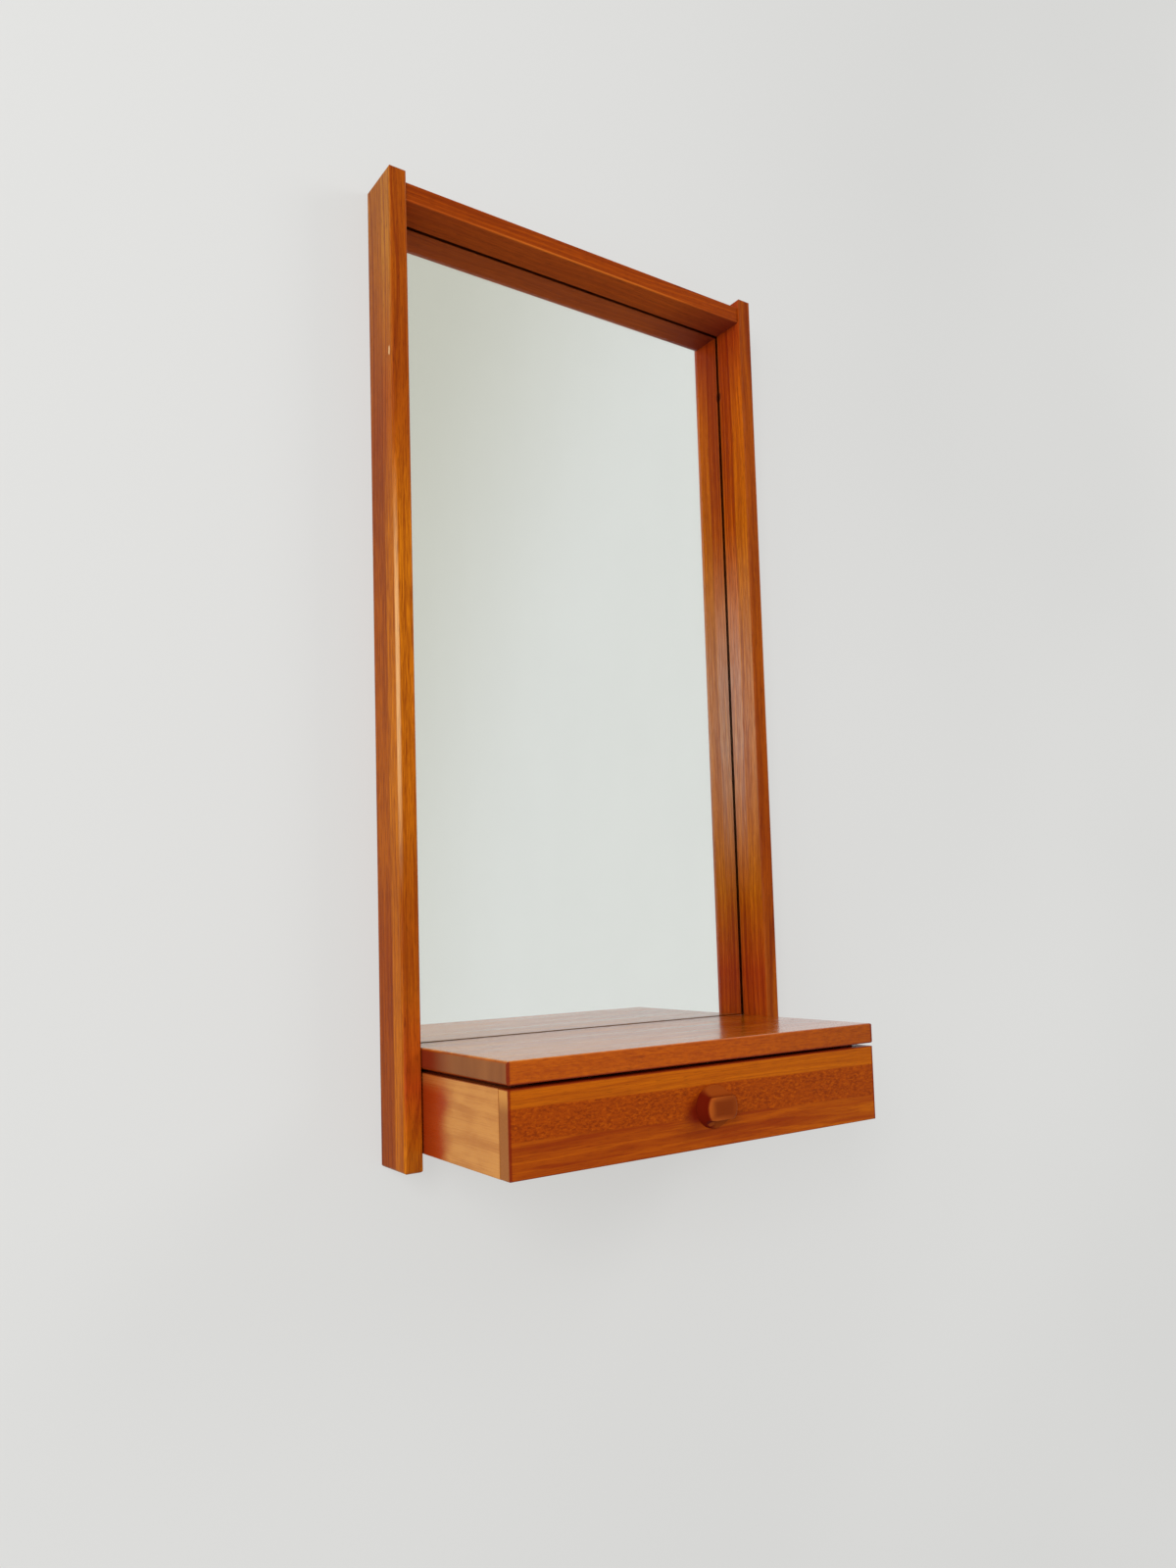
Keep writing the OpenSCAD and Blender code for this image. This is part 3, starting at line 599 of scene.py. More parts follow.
def rail_wood(node, seed):
    """Straight-grained teak with the grain along the rail, quieter on its underside, which is tinted paler as
    painted light from below.
    """
    tones = bpy.context.scene.hall_wood
    board = Board(f"{node}_teak", node, GRAIN_X, seed, pith=(0.05, 0.06), slope=0.006)
    under = board.by("under", 1.6, 0.4)
    lively = board.add(0.75, board.times(under, -0.4))
    tone = board.add(board.times(board.tone(), lively), board.times(board.rest(lively), 0.5))
    base = board.teak(tone, tones.rail_dark, tones.rail_light, tones.pore, late=board.times(lively, 0.25),
                      dashes=board.times(lively, 0.3))
    # Painted light from below: the underside is tinted paler, least at the right end beside the stile
    across = ((board.low.x / MM, (1.6, 1.5, 3.5)), (100, (1.8, 1.8, 4.0)), (board.high.x / MM, (0.9, 0.7, 4.0)))
    base = board.tinted(base, board.right, across, under)
    base = board.stained(base, (0.85, 0.66, 0.38), board.by("front", 1.2, 0.3))
    base = board.lay(base, tones.rail_light, board.arris, 0.25)
    along_bead = board.spread(board.size(board.right), 150 * MM, 40 * MM, 0.1, 0.45)
    base = board.lay(base, tones.rail_bead, board.by("front", 1.8, 0.8), board.by("under", 1.8, 0.8),
                     along_bead)
    return board.finished(base, 0.30, 0.42, 0.12, 0.35, [board.times(under, 0.25)], IOR=LACQUER)


def shelf_wood(node, seed):
    """Teak under a full, glossy coat that wiping has left in streaks. The ends are greyer, and dark red painted
    shade lies next to the stiles and on the underside over the drawer; the top is tinted paler, a painted sheen
    of the room."""
    tones = bpy.context.scene.hall_wood
    board = Board("shelf_teak", node, GRAIN_X, seed, pith=(0.02, 0.075), slope=0.01, ring=1.6, wander=1.5)
    front, top = board.by("front", 1.4, 0.4), board.by("top", 0.9, 0.3)
    mottle = board.speckle((190, 300, 560), 3.0, 0.6)
    lined = board.times(board.tone(rings=0.35, cloud=0.4), board.rest(board.times(front, 0.65)))
    tone = board.add(lined, board.times(front, board.spread(mottle, 0.3, 0.7, 0.14, 0.52)))
    base = board.teak(tone, tones.shelf_dark, tones.shelf_light, tones.pore, late=0.06, dashes=0.07, pores=0.3,
                      end=0.0)
    along_front = ((-180, (1.1, 1.05, 0.4)), (0, (1.05, 0.95, 0.3)), (180, (0.85, 0.8, 0.2)))
    # Painted sheen: the top is tinted paler and greyer, most towards the left, as the room's reflection on the
    # coat
    sheen_along_top = ((-180, (1.5, 2.2, 1.4)), (0, (1.4, 1.7, 0.9)), (180, (1.0, 1.1, 0.9)))
    base = board.tinted(base, board.right, along_front, front)
    base = board.tinted(base, board.right, sheen_along_top, top)

    streaks = board.speckle((1, 62, 14))
    end_tone = board.mix(board.spread(streaks, 0.15, 0.85, 0.2, 0.7), tones.shelf_end, tones.front_end)
    # Painted shade: the ends turn dark red next to the stiles
    end_shade = board.spread(board.add(board.deep, board.times(streaks, 24 * MM)), -88 * MM, -42 * MM)
    base = board.mix(board.end, base, board.lay(end_tone, tones.oil, end_shade, 0.85))
    base = board.lay(base, tones.shelf_dark, board.arris, 0.4)
    # Painted shade: dark red on the front beside the stiles and on the underside over the drawer
    upright = board.times(front, board.by_ends(3.4, 1.8))
    base = board.lay(base, tones.oil, board.math("MAXIMUM", upright, board.by("under", 1.9, 0.5)), 0.8)
    base = board.lay(base, tones.rebate, board.by("rear", 0.9, 0.3), 0.5)
    for right, deep, size in RESIDUE:
        speck = board.near((right * MM, deep * MM, board.high.z), (size * 1.6, size, 1.0))
        base = board.mix(speck, base, tones.residue)

    wiped = board.speckle((14, 60, 60), 4.0, 0.6)
    height = board.weigh((board.height(), 0.5), (wiped, 1.6))
    smears = board.speckle((6, 75, 40), 3.0, 0.6)
    coat = board.add(0.12, board.times(top, board.spread(smears, 0.36, 0.66, 0.88, 0.72)))
    shader = board.surface(base, board.gloss(0.28, 0.40), height, depth=0.16 * MM, strength=0.35,
                           IOR=LACQUER, Coat_Weight=coat, Coat_Roughness=0.16, Coat_IOR=1.6)
    board.feed(shader.inputs["Coat Normal"], shader.inputs["Normal"].links[0].from_socket)
    return board.material


def flecked_strip(board, tones):
    """The drawer front's middle strip: dark dots in patches, with light dashes."""
    dots = board.spread(board.speckle((230, 300, 520), 2.0, 0.7), 0.40, 0.62)
    dashes = board.spread(board.speckle((300, 700, 620)), 0.54, 0.68)
    patches = board.spread(board.speckle((40, 50, 110), 3.0, 0.6), 0.38, 0.62)
    ground = blend(tones.front_dark, tones.front_light, 0.38)
    fleck = blend(tones.front_dark, tones.pore, 0.6)
    strip = board.lay(ground, fleck, dots, board.add(0.35, board.times(patches, 0.25)))
    strip = board.lay(strip, tones.front_light, dashes, 0.4)
    return board.mix(1.0, strip, (1.02, 0.86, 0.75), "MULTIPLY")


def drawer_front_wood(node, seed):
    """Three strips edge to edge: a yellow-orange one above, a flecked darker one, and a lined one below. Dark
    red painted shade lies round the knob as its shadow, along the top edge under the shelf and at the two ends
    beside the stiles."""
    tones = bpy.context.scene.hall_wood
    board = Board("drawer_front_teak", node, GRAIN_X, seed, pith=(0.09, 0.12), ring=1.4)
    upper = board.teak(board.tone(), blend(tones.front_dark, tones.front_light, 0.5), tones.front_light,
                       tones.pore, pores=0.2, end=0.0)
    waves = board.speckle((11, 1, 130), 3.0, 0.55, 0.5)
    lower_tone = board.times(board.add(board.tone(), board.spread(waves, 0.35, 0.65)), 0.5)
    lower = board.teak(lower_tone, tones.front_dark, blend(tones.front_dark, tones.front_light, 0.65),
                       tones.pore, pores=0.2, end=0.0)
    wavy = board.sway(board.speckle((9, 1, 1)), 4 * MM)
    up = board.add(board.z, wavy)
    from_top = board.less(board.add(board.times(board.x, -0.005), 16.5 * MM), up)
    from_foot = board.less(up, board.add(board.times(board.x, -0.015), -7.5 * MM))
    base = board.mix(board.spread(from_top, -0.8 * MM, 0.8 * MM), upper, flecked_strip(board, tones))
    base = board.mix(board.spread(from_foot, 0.6 * MM, -0.6 * MM), base, lower)
    below_strip = board.spread(from_foot, 0.0, -0.6 * MM)
    along_foot = ((-180, (1.05, 0.9, 0.8)), (60, (1.1, 0.95, 0.8)), (180, (1.3, 1.4, 0.7)))
    along_rest = ((-180, (1.0, 0.9, 0.8)), (180, (1.0, 0.95, 0.7)))
    base = board.tinted(base, board.right, along_foot, below_strip)
    base = board.tinted(base, board.right, along_rest, board.rest(below_strip))

    cut = board.mix(board.spread(board.fine, 0.4, 0.6), tones.front_end, shade(tones.front_end, 0.8))
    top = board.high.z
    lifted = board.spread(board.add(board.up, wavy), top - 18 * MM, top - 3 * MM)
    base = board.mix(board.end, base, board.lay(cut, tones.side_light, lifted, 0.8))
    base = board.lay(base, tones.front_dark, board.arris, 0.6)
    # Painted shadow: dark red round the knob, mostly to its left, as the knob's cast shadow
    shadow_x, shadow_z = KNOB_SHADOW
    out = board.join(board.add(board.right, -shadow_x * MM), 0.0, board.add(board.up, -shadow_z * MM))
    base = board.lay(base, tones.oil, board.spread(board.reach(out), 16 * MM, 3 * MM), 0.95)
    # Painted shade: dark red on the ends beside the stiles and on the top edge in the gap, redder back from the
    # front and the ends
    above = board.by("top", 1.2, 0.3)
    base = board.lay(base, tones.oil, board.by_ends(2.6, 1.2), board.by("front", 1.2, 0.4), 0.75)
    base = board.lay(base, tones.oil, above, 0.8)
    base = board.lay(base, tones.gap_red, above, board.by("front", 0.8, 2.4), board.by_ends(3, 16), 0.9)
    return board.finished(base, 0.28, 0.40, 0.1, 0.3, IOR=LACQUER)


def drawer_side_wood(side, seed):
    """Paler wood under a glossy coat, with soft curls, and dark red painted shade next to the stile and on the
    top edge under the shelf.
    """
    tones = bpy.context.scene.hall_wood
    board = Board(f"drawer_side_wood_{side}", f"{side}_drawer_side", GRAIN_Y, seed, pith=(0.05, 0.05),
                  slope=0.03, ring=2.4, wander=2.0)
    curl = board.speckle((34, 60, 60), 3.0, 0.5, 0.6)
    tone = board.spread(board.weigh((curl, 0.7), (board.tone(), 0.3)), 0.25, 0.7)
    soft = board.add(0.33, board.times(tone, 0.5))
    base = board.teak(soft, tones.side_dark, tones.side_light, tones.side_dark, late=0.06, dashes=0.06,
                      pores=0.12)
    flame = board.sway(board.speckle((20, 70, 70), 3.0), 30 * MM)
    depth, start, top = board.add(board.deep, flame), board.low.y, board.high.z
    # Painted shade: dark red where the stile shades the side, deepest next to it
    oiled = board.spread(depth, start + 64 * MM, start + 90 * MM)
    soaked = board.spread(depth, start + 88 * MM, start + 110 * MM)
    rim = board.spread(board.add(board.up, board.times(flame, 0.3)), top - 1 * MM, top - 14 * MM, 0.5, 1.0)
    base = board.lay(base, tones.side_shade, oiled, rim, 0.95)
    base = board.lay(base, tones.oil, soaked, 0.35)
    # Painted shade: the top edge, in the gap under the shelf, is darker
    base = board.lay(base, tones.oil, board.by("top", 1.0, 0.2), 0.8)
    base = board.lay(base, tones.side_dark, board.arris, 0.3)
    return board.finished(base, 0.24, 0.34, 0.1, 0.25, IOR=1.3)


def pale_wood(name, node, turn, seed, dark, light):
    """Plain beech or birch: an even ground with short flecks along the grain."""
    board = Board(name, node, turn, seed, pith=(0.07, 0.05), ring=1.2)
    base = board.teak(board.tone(), blend(dark, light, 0.7), light, dark, late=0.3, pores=0.2, end=0.3)
    base = board.lay(base, dark, board.spread(board.speckle((160, 1500, 1500), 1.0), 0.58, 0.70), 0.4)
    return board.finished(base, 0.55, 0.7, 0.12, 0.4)


def knob_wood(node, seed):
    """Oiled teak with the grain level, in the coves' colour where it was turned, with painted shade on its
    lower left flank and painted highlights on the rounded edges of its front and on a patch of its lower cove.
    """
    tones, sizes = bpy.context.scene.hall_wood, bpy.context.scene.hall_knob
    board = Board("knob_teak", node, GRAIN_X, seed, pith=(0.03, 0.02), ring=0.9)
    low, high = board.low, board.high
    front_radius = (high.x - low.x) / 2 * sizes.front_share
    quiet = board.add(0.25, board.times(board.cloud, 0.4), board.times(board.fine, 0.12))
    base = board.teak(quiet, tones.knob_dark, tones.knob_light, tones.pore, late=0.0, dashes=0.0, pores=0.12,
                      end=0.0)
    depth = board.add(board.y, (high.y - low.y) / 2)
    front = board.spread(depth, 2.5 * MM, 0.8 * MM)
    # Painted highlight: the rounded edges of the front are paler, most on the left
    out = board.math("SMOOTH_MAX", board.times(board.size(board.x), 1 / front_radius),
                     board.times(board.size(board.z), 2 / sizes.bar), 0.25)
    leftward = board.spread(board.x, front_radius, -front_radius, 0.35, 1.0)
    base = board.lay(base, tones.knob_highlight, front, board.spread(out, 0.45, 1.0), leftward, 0.8)
    turned = board.spread(depth, 3 * MM, 8 * MM)
    # Painted shade: the lower left flank behind the front is dark red
    low_left = board.spread(board.add(board.x, board.times(board.z, 0.3)), -3 * MM, -10 * MM)
    base = board.lay(base, tones.knob_cove, turned, 0.9)
    base = board.lay(base, shade(tones.oil, 0.75), board.spread(depth, 0.8 * MM, 3 * MM), low_left, 0.95)
    # Painted highlight: a paler patch on the lower cove
    paler = board.near((middle(node)[0] - 5 * MM, low.y + 8 * MM, low.z + 4 * MM), (3.5, 6, 2))
    base = board.lay(base, tones.knob_highlight, paler, 0.6)
    return board.finished(base, 0.28, 0.40, 0.08, 0.3, [board.times(turned, 0.3)], IOR=1.1)


# ---- Glass, silver, board and metal ----

def clear_glass():
    """Clear float glass with the faintest uneven polish."""
    finish = bpy.context.scene.hall_finish
    material, glass = new_pattern("clear_glass")
    smear = glass.noise(glass.scaled(glass.place(middle("mirror_glass")), (30, 30, 9)), 3.0, 0.6)
    tint = glass.mix(glass.spread(smear, 0.3, 0.7), finish.glass, shade(finish.glass, 0.995))
    glass.surface(tint, 0.0, IOR=1.52, Transmission_Weight=1.0)
    return material


def silver():
    """Silver behind the glass, bright in the middle and a little tarnished along its edges."""
    finish = bpy.context.scene.hall_finish
    material, layer = new_pattern("silver")
    low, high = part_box("mirror_silvering")
    half = (high - low) / 2
    x, _, z = layer.split(layer.place((low + high) / 2))
    edge = layer.math("MINIMUM", layer.less(half[0], layer.size(x)), layer.less(half[2], layer.size(z)))
    where = layer.join(x, 0.0, z)
    creep = layer.noise(layer.scaled(where, (120, 120, 120)), 4.0, 0.6)
    tarnished = layer.spread(edge, 0.0, layer.spread(creep, 0.4, 0.7, 0.4 * MM, 2.4 * MM), 1.0, 0.0)
    cloud = layer.noise(layer.scaled(where, (6, 6, 6)))
    bright = layer.mix(layer.spread(cloud, 0.3, 0.7), finish.silver, shade(finish.silver, 0.99))
    layer.surface(layer.mix(tarnished, bright, finish.tarnish), 0.015, Metallic=1.0)
    return material


def hardboard():
    """Brown fibreboard with the mesh print of the press on its rear face."""
    finish = bpy.context.scene.hall_finish
    material, board = new_pattern("hardboard")
    at = board.place(middle("backing_board"))
    x, _, z = board.split(at)
    weave = 2 * math.pi / (1.7 * MM)
    mesh = board.times(board.math("SINE", board.times(x, weave)), board.math("SINE", board.times(z, weave)))
    fibre = board.noise(board.scaled(at, (420, 420, 420)), 4.0, 0.7, 0.6)
    cloud = board.noise(board.scaled(at, (9, 9, 9)), 3.0)
    light = [min(1.0, value) for value in shade(finish.hardboard, 1.45)]
    dark = shade(finish.hardboard, 0.55)
    base = board.mix(board.spread(fibre, 0.35, 0.65), dark, light)
    base = board.lay(base, finish.hardboard, board.spread(cloud, 0.3, 0.7), 0.4)
    base = board.mix(board.spread(mesh, 0.0, -1.0, 0.0, 0.3), base, dark)
    board.surface(base, board.spread(fibre, 0.3, 0.7, 0.72, 0.9), board.add(board.times(mesh, 0.5), fibre),
                  depth=0.15 * MM, strength=0.6)
    return material


def steel(name, node, tint, brushed):
    """Plated steel, brushed or plain, duller in handled patches, with specks of rust."""
    finish = bpy.context.scene.hall_finish
    material, metal = new_pattern(name)
    at = metal.place(middle(node))
    lines = metal.noise(metal.scaled(at, brushed), 3.0, 0.6)
    cloud = metal.noise(metal.scaled(at, (90, 90, 90)), 3.0, 0.6)
    speck = metal.spread(metal.noise(metal.scaled(at, (700, 700, 700)), 3.0, 0.65), 0.66, 0.72)
    patch = metal.times(speck, metal.spread(cloud, 0.52, 0.62))
    base = metal.mix(metal.spread(lines, 0.3, 0.7), shade(tint, 0.8), tint)
    base = metal.mix(patch, base, finish.rust)
    rough = metal.add(metal.spread(cloud, 0.3, 0.7, 0.28, 0.45), metal.times(patch, 0.35))
    clean = metal.rest(metal.times(patch, 0.85))
    metal.surface(base, rough, lines, depth=0.04 * MM, strength=0.3, Metallic=clean)
    return material


# ---- The knob and the silver film ----

HALVINGS = 40       # steps of the search for the knob's surface along each ray
PAST_OUTLINE = 1.3  # the search's far end, as a share of the way to the uncut cone
HEART = 0.95        # height of the point where the rays start, as a share of the rim's
EDGE_BLEND = 2.2    # width of the soft greatest that leaves a rounding of 1


def knob_surface(base_radius, height, sizes):
    """Points and faces of the knob, with its axis along +Z from the drawer front at 0.

    The solid is a slow cone with a rounded front edge, less two level round bars that cut the
    coves: its soft field is the smooth greatest of the cone's own field and of each cove's
    radius less the distance to the cove's axis. From a point on the axis inside the rim a ray
    goes out in every direction, towards an evenly spaced point of the uncut cone's outline at
    each turn round the axis, and the surface lies where halving steps find the field's nought.
    """
    front_radius = base_radius * sizes.front_share
    cove_y = sizes.rim + sizes.cove
    reach = min(height - cove_y, sizes.cove - 1 * MM)  # from the cove's axis to the knob's front
    cove_z = sizes.bar / 2 + math.sqrt(sizes.cove ** 2 - reach ** 2)

    def soft_greatest(a, b, width):
        overlap = np.maximum(width - np.abs(a - b), 0.0) / width
        return np.maximum(a, b) + overlap ** 2 * width / 4

    def field(p):
        rho = np.hypot(p[0], p[1])
        taper = (base_radius - front_radius) / height
        wall = (rho - (base_radius - taper * p[2])) / math.hypot(1, taper)
        face = p[2] - height
        solid = soft_greatest(wall, face, sizes.edge * EDGE_BLEND)
        for side in (-1, 1):
            cove = sizes.cove - np.hypot(p[1] - side * cove_z, p[2] - cove_y)
            solid = soft_greatest(solid, cove, sizes.worn)
        return solid

    heart = np.array([0.0, 0.0, sizes.rim * HEART])
    steps = np.linspace(0.0, 1.0, sizes.along)
    outline = base_radius + height
    run = steps * outline
    rho = np.minimum(run, base_radius)
    rise = np.where(run < base_radius, height, height - (run - base_radius))
    turn = np.linspace(0, 2 * math.pi, sizes.around, endpoint=False)
    aim = np.stack([rho[:, None] * np.cos(turn), rho[:, None] * np.sin(turn),
                    np.repeat(rise[:, None], sizes.around, 1)])
    ray = aim - heart[:, None, None]
    near, far = np.zeros(aim.shape[1:]), np.full(aim.shape[1:], PAST_OUTLINE)
    for _ in range(HALVINGS):
        half = (near + far) / 2
        inside = field(heart[:, None, None] + ray * half) < 0
        near, far = np.where(inside, half, near), np.where(inside, far, half)
    points = heart[:, None, None] + ray * near
    points[2] = np.maximum(points[2], 0.0)
    rings = points[:, 1:].reshape(3, -1).T
    verts = np.vstack([points[:, 0, 0], rings, [0.0, 0.0, 0.0]])
    row, col = np.meshgrid(np.arange(sizes.along - 2), np.arange(sizes.around), indexing="ij")
    start = 1 + row * sizes.around
    after = (col + 1) % sizes.around
    quads = np.stack([start + col, start + sizes.around + col, start + sizes.around + after,
                      start + after], -1).reshape(-1, 4)
    loop = np.arange(sizes.around)
    last = 1 + (sizes.along - 2) * sizes.around
    cap = np.stack([np.zeros_like(loop), 1 + loop, 1 + (loop + 1) % sizes.around], -1)
    foot = np.stack([np.full_like(loop, len(verts) - 1), last + (loop + 1) % sizes.around, last + loop], -1)
    return verts, quads.tolist() + cap.tolist() + foot.tolist()


def film_surface(low, high):
    """Points and faces of the silver film on the glass's back.

    Across the width and up the height the front face is a plane with two faint crossing waves, as
    drawn glass has; the back face is flat. Each row goes round the film, out along the front and
    home along the back, and the rows are stacked up the height and closed by a strip at each end.
    """
    clear = 0.04 * MM
    wave, pitch_x, pitch_z = 0.003 * MM, 0.14, 0.19
    columns, levels = 48, 96
    x = np.linspace(low.x, high.x, columns)
    z = np.linspace(low.z, high.z, levels)
    grid_z, grid_x = np.meshgrid(z, x, indexing="ij")
    front = low.y + clear + wave * (np.sin(2 * np.pi * grid_x / pitch_x + 3 * grid_z)
                                    + np.sin(2 * np.pi * grid_z / pitch_z + 4 * grid_x))
    face = np.stack([grid_x, front, grid_z], -1)
    rear = np.stack([grid_x, np.full_like(grid_x, high.y), grid_z], -1)[:, ::-1]
    rows = np.concatenate([face, rear], 1)
    count, around = rows.shape[:2]
    row, col = np.meshgrid(np.arange(count - 1), np.arange(around), indexing="ij")
    after = (col + 1) % around
    sides = np.stack([row * around + col, row * around + after, (row + 1) * around + after,
                      (row + 1) * around + col], -1).reshape(-1, 4)
    step = np.arange(len(x) - 1)
    strip = np.stack([step, around - 1 - step, around - 2 - step, step + 1], -1)
    top = (count - 1) * around + strip[:, ::-1]
    return rows.reshape(-1, 3), sides.tolist() + strip.tolist() + top.tolist()


def make_piece(name, verts, faces, material, body, slot):
    """A smooth-shaded piece that sits at the origin and rides on a body."""
    mesh = bpy.data.meshes.new(name)
    mesh.from_pydata(np.asarray(verts).tolist(), [], faces)
    mesh.polygons.foreach_set("use_smooth", [True] * len(mesh.polygons))
    mesh.materials.append(material)
    mesh.update()
    piece = bpy.data.objects.new(name, mesh)
    bpy.context.scene.collection.objects.link(piece)
    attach(piece, body)
    return piece


# ---- Operators, one for each group of like pieces ----

class Finish:
    """What the operators share: they run once and say so, or raise."""
    bl_options = {"REGISTER"}


class HALL_OT_stiles(Finish, bpy.types.Operator):
    """Finish the two stiles"""
    bl_idname = "hall.stiles"
    bl_label = "Stiles"

    def execute(self, context):
        # How much painted lamp light each stile carries half way up
        wear("left_stile", stile_wood("left", 1.3, lit_share=0.75))
        wear("right_stile", stile_wood("right", 7.1, lit_share=0.15))
        return {"FINISHED"}


class HALL_OT_rails(Finish, bpy.types.Operator):
    """Finish the top rail and the bottom rail"""
    bl_idname = "hall.rails"
    bl_label = "Rails"

    def execute(self, context):
        for node, seed in (("top_rail", 3.4), ("bottom_rail", 5.2)):
            wear(node, rail_wood(node, seed))
        return {"FINISHED"}


class HALL_OT_shelf(Finish, bpy.types.Operator):
    """Finish the shelf"""
    bl_idname = "hall.shelf"
    bl_label = "Shelf"

    def execute(self, context):
        wear("shelf_board", shelf_wood("shelf_board", 2.6))
        return {"FINISHED"}


class HALL_OT_drawer(Finish, bpy.types.Operator):
    """Finish the drawer's front, sides, back and bottom"""
    bl_idname = "hall.drawer"
    bl_label = "Drawer"

    def execute(self, context):
        tones = context.scene.hall_wood
        wear("drawer_front", drawer_front_wood("drawer_front", 4.7))
        wear("left_drawer_side", drawer_side_wood("left", 6.3))
        wear("right_drawer_side", drawer_side_wood("right", 9.6))
        wear("drawer_back", pale_wood("drawer_back_beech", "drawer_back", GRAIN_X, 8.2,
                                      tones.beech_dark, tones.beech_light))
        wear("drawer_bottom", pale_wood("drawer_bottom_birch", "drawer_bottom", GRAIN_X, 1.7,
                                        tones.ply_dark, tones.ply_light))
        return {"FINISHED"}


class HALL_OT_runners(Finish, bpy.types.Operator):
    """Finish the runners and the dowels"""
    bl_idname = "hall.runners"
    bl_label = "Runners and Dowels"

    def execute(self, context):
        tones = context.scene.hall_wood
        turns = {"left_runner": GRAIN_Y, "right_runner": GRAIN_Y, "top_rail_dowels": GRAIN_X,
                 "bottom_rail_dowels": GRAIN_X, "shelf_dowels": GRAIN_Z, "drawer_dowels": GRAIN_Y}
        for index, (node, turn) in enumerate(turns.items()):
            pair = (tones.beech_dark, tones.beech_light)
            # The runners take darker tones, painted shade for the gap under the shelf where they show
            if node.endswith("runner"):
                pair = (tones.runner_dark, tones.runner_light)
            wear(node, pale_wood(f"{node}_beech", node, turn, 10.0 + index, *pair))
        return {"FINISHED"}


class HALL_OT_glass(Finish, bpy.types.Operator):
    """Finish the glass, its silver and the hardboard behind"""
    bl_idname = "hall.glass"
    bl_label = "Glass and Backing"

    def execute(self, context):
        wear("mirror_glass", clear_glass())
        wear("backing_board", hardboard())
        film = make_piece("silver_film", *film_surface(*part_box("mirror_silvering")), silver(),
                          "mirror_frame", "silvering")
        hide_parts("mirror_silvering")
        return {"FINISHED"}


class HALL_OT_metal(Finish, bpy.types.Operator):
    """Finish the hanging plates, screws and pins"""
    bl_idname = "hall.metal"
    bl_label = "Plates and Screws"

    def execute(self, context):
        finish = context.scene.hall_finish
        for node in ("left_hanger_plate", "right_hanger_plate"):
            wear(node, steel(f"{node}_steel", node, finish.plate, (60, 900, 900)))
        for node in ("hanger_screws", "runner_screws", "knob_screw", "backing_pins", "drawer_bottom_pins"):
            wear(node, steel(f"{node}_steel", node, finish.screw, (1100, 1100, 1100)))
        return {"FINISHED"}


class HALL_OT_knob(Finish, bpy.types.Operator):
    """Turn the knob and cut its two coves"""
    bl_idname = "hall.knob"
    bl_label = "Knob"

    def execute(self, context):
        low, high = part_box("knob")
        verts, faces = knob_surface((high.x - low.x) / 2, high.y - low.y, context.scene.hall_knob)
        upright = np.array([[1, 0, 0], [0, 0, -1], [0, 1, 0]], float)
        seat = np.array([(low.x + high.x) / 2, high.y, (low.z + high.z) / 2])
        knob = make_piece("turned_knob", verts @ upright.T + seat, faces, knob_wood("knob", 3.9),
                          "drawer", "knob_wood")
        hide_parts("knob")
        return {"FINISHED"}


class HALL_OT_studio(Finish, bpy.types.Operator):
    """Set the wall, floor, lamps and camera"""
    bl_idname = "hall.studio"
    bl_label = "Studio"

    def execute(self, context):
        set_view(context.scene)
        wall_and_floor(context.scene.hall_studio)
        lamps(context.scene.hall_studio)
        room(context.scene)
        return {"FINISHED"}


# ---- Studio ----

FRAME_H = 1600  # height of the picture in pixels
CAMERA_AT = (-0.56296, -0.83560, -0.59155)
CAMERA_YAW, CAMERA_PITCH, CAMERA_ROLL = 34.417, 4.429, -1.673


def set_view(scene):
    """The camera stands at the mirror's left, below its middle, and looks a little up and to the right."""
    studio = scene.hall_studio
    yaw, pitch, roll = (math.radians(v) for v in (CAMERA_YAW, CAMERA_PITCH, CAMERA_ROLL))
    ahead = Vector((math.sin(yaw) * math.cos(pitch), math.cos(yaw) * math.cos(pitch), math.sin(pitch)))
    level = Vector((math.cos(yaw), -math.sin(yaw), 0.0))
    up = level.cross(ahead)
    right = level * math.cos(roll) + up * math.sin(roll)
    top = up * math.cos(roll) - level * math.sin(roll)
    lens = bpy.data.cameras.new("camera")
    lens.sensor_fit = "AUTO"
    lens.lens = studio.focal_px * lens.sensor_width / FRAME_H
    lens.shift_y = (studio.centre_v - FRAME_H / 2) / FRAME_H
    lens.clip_start, lens.clip_end = 0.01, 50.0
    camera = bpy.data.objects.new("camera", lens)
    turned = Matrix((right, top, -ahead)).transposed()
    camera.matrix_world = Matrix.LocRotScale(Vector(CAMERA_AT), turned.to_quaternion(), None)
    scene.collection.objects.link(camera)
    scene.camera = camera
    scene.view_settings.view_transform = "Standard"


def sheet(name, corners, material):
    """A flat stage piece through four corners."""
    mesh = bpy.data.meshes.new(name)
    mesh.from_pydata(corners, [], [(0, 1, 2, 3)])
    mesh.materials.append(material)
    made = bpy.data.objects.new(name, mesh)
    bpy.context.scene.collection.objects.link(made)
    return made


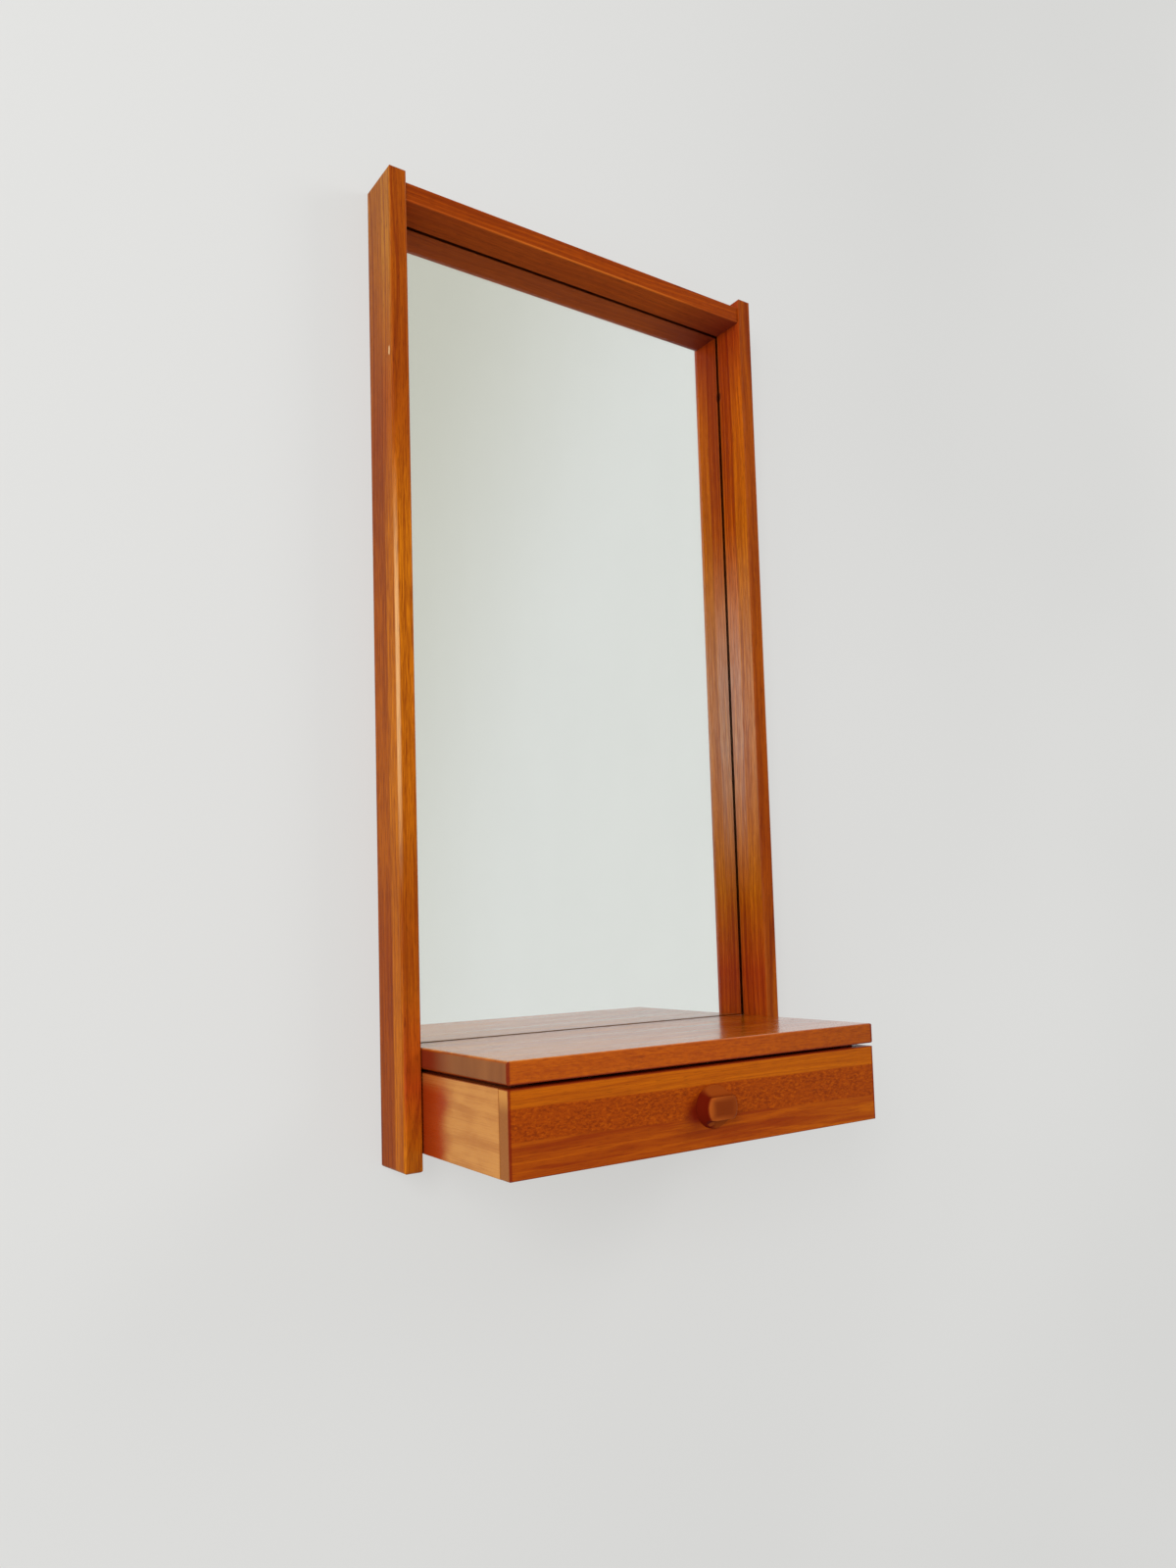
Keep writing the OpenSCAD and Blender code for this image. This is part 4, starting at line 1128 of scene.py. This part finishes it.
def wall_paint(tint):
    """Matt paint on a wall that is there only from its front, so that the mirror's back can be seen. Most of
    its brightness is its own glow, and its tone carries painted light, paler towards the left.
    """
    material, paint = new_pattern("wall_paint")
    at = paint.here()
    x, _, z = paint.split(at)
    roller = paint.noise(paint.scaled(at, (420, 420, 420)), 3.0, 0.6)
    cloud = paint.noise(paint.scaled(at, (1.2, 1.2, 1.2)))
    # Painted light: the tone is paler towards the left and shifts a little with height at the right, as lamp
    # light falls off
    tone = paint.mix(paint.spread(paint.weigh((x, -1.0), (z, 0.15)), -1.1, 1.0), shade(tint, 0.90), tint)
    tone = paint.lay(tone, shade(tint, 0.97), paint.spread(cloud, 0.3, 0.7), 0.5)
    tone = paint.stained(tone, paint.spread(z, 0.3, -1.0, 0.965, 1.05), paint.spread(x, 0.0, 0.6))
    matt, lit = paint.put("ShaderNodeBsdfDiffuse"), paint.put("ShaderNodeEmission")
    for shader in (matt, lit):
        paint.feed(shader.inputs["Color"], tone)
    paint.feed(matt.inputs["Normal"], paint.bump(roller, 0.05 * MM, 0.15))
    shown = paint.made(paint.put("ShaderNodeMixShader"), (0.73, matt.outputs[0], lit.outputs[0]))
    clear = paint.put("ShaderNodeBsdfTransparent").outputs[0]
    from_behind = paint.put("ShaderNodeNewGeometry").outputs["Backfacing"]
    paint.output(paint.made(paint.put("ShaderNodeMixShader"), (from_behind, shown, clear)))
    return material


def floor_paint(tint):
    """Plain matt floor with a slow change of tone."""
    material, paint = new_pattern("floor_paint")
    cloud = paint.noise(paint.scaled(paint.here(), (0.8, 0.8, 0.8)))
    paint.surface(paint.mix(paint.spread(cloud, 0.3, 0.7), shade(tint, 0.97), tint), 0.7)
    return material


def wall_and_floor(studio):
    """A wall just behind the frame and a floor well below it. Only the camera sees the wall, so that
    it takes the mirror's shadow and keeps no light from the mirror's back."""
    reach = 9.0
    back, foot = studio.wall_gap, -studio.floor_drop
    wall = sheet("wall", [(-reach, back, foot), (reach, back, foot), (reach, back, reach),
                          (-reach, back, reach)], wall_paint(studio.wall))
    for ray in ("diffuse", "glossy", "transmission", "volume_scatter", "shadow"):
        setattr(wall, f"visible_{ray}", False)
    floor = sheet("floor", [(-reach, -reach, foot), (reach, -reach, foot), (reach, reach, foot),
                            (-reach, reach, foot)], floor_paint(studio.floor))
    for ray in ("diffuse", "glossy", "transmission"):
        setattr(floor, f"visible_{ray}", False)


# Name, place, width and height of each lamp, in metres
LAMPS = (("key", (-1.70, -1.85, 0.13), 0.60, 1.10), ("fill", (1.9, -1.4, 0.6), 0.9, 0.9),
         ("side", (-2.2, -0.75, 0.0), 1.3, 1.3), ("rear", (0.6, 2.4, 0.8), 1.8, 1.8))


def soft_lamp(name, at, power, width, height):
    """A soft box that faces the mirror's middle. It shows in no mirror or glass."""
    low, high = PACKED_BOX
    light = bpy.data.lights.new(name, "AREA")
    light.shape = "RECTANGLE"
    light.energy, light.size, light.size_y = power, width, height
    lamp = bpy.data.objects.new(name, light)
    lamp.location = at
    lamp.rotation_euler = (((low + high) / 2) - Vector(at)).to_track_quat("-Z", "Y").to_euler()
    lamp.visible_camera = lamp.visible_transmission = lamp.visible_glossy = False
    bpy.context.scene.collection.objects.link(lamp)


def lamps(studio):
    """The key light at the left in front, a fill at the right, a wide one at the left for the sides,
    and one behind for the back."""
    for name, at, width, height in LAMPS:
        soft_lamp(name, at, getattr(studio, name), width, height)


def room(scene):
    """The world. Matt faces get even light, stronger from above; the camera, the mirror and other
    shiny faces get a pale room that is a little darker towards the left."""
    studio = scene.hall_studio
    world = bpy.data.worlds.new("room")
    world.use_nodes = True
    scene.world = world
    air = Pattern(world.node_tree)
    x, _, z = air.split(air.put("ShaderNodeTexCoord").outputs["Generated"])
    level = air.mix(air.spread(z, -0.5, 0.6), [studio.below] * 3, [studio.above] * 3)
    across = air.add(x, air.times(z, -0.14))
    pale = air.mix(air.spread(across, 0.30, 0.52), studio.room_far, studio.room)
    paths = air.put("ShaderNodeLightPath")
    shiny = air.math("MAXIMUM", paths.outputs["Is Glossy Ray"], paths.outputs["Is Transmission Ray"])
    seen = air.math("MAXIMUM", shiny, paths.outputs["Is Camera Ray"])
    glow = air.put("ShaderNodeBackground")
    air.feed(glow.inputs["Color"], air.mix(seen, level, pale))
    air.output(glow.outputs[0], "ShaderNodeOutputWorld")


# ---- Sidebar, registration and run ----

STEPS = (HALL_OT_studio, HALL_OT_stiles, HALL_OT_rails, HALL_OT_shelf, HALL_OT_drawer, HALL_OT_runners,
         HALL_OT_glass, HALL_OT_metal, HALL_OT_knob)
GROUPS = {"hall_wood": WoodColours, "hall_grain": GrainSizes, "hall_finish": MirrorFinish,
          "hall_knob": KnobSizes, "hall_studio": Studio}


class HALL_PT_sidebar(bpy.types.Panel):
    """Lists the steps that dress the mirror"""
    bl_idname = "HALL_PT_sidebar"
    bl_label = "Hall Mirror"
    bl_space_type = "VIEW_3D"
    bl_region_type = "UI"
    bl_category = "Hall Mirror"

    def draw(self, context):
        for step in STEPS:
            self.layout.operator(step.bl_idname)
        for name, group in GROUPS.items():
            box = self.layout.box()
            for prop in group.__annotations__:
                box.prop(getattr(context.scene, name), prop)


def register():
    for group in (*GROUPS.values(), *STEPS, HALL_PT_sidebar):
        bpy.utils.register_class(group)
    for name, group in GROUPS.items():
        setattr(bpy.types.Scene, name, PointerProperty(type=group))


def unregister():
    for name in GROUPS:
        delattr(bpy.types.Scene, name)
    for group in (HALL_PT_sidebar, *reversed(STEPS), *GROUPS.values()):
        bpy.utils.unregister_class(group)


def main():
    register()
    for step in STEPS:
        family, name = step.bl_idname.split(".")
        getattr(getattr(bpy.ops, family), name)()


if __name__ == "__main__":
    main()
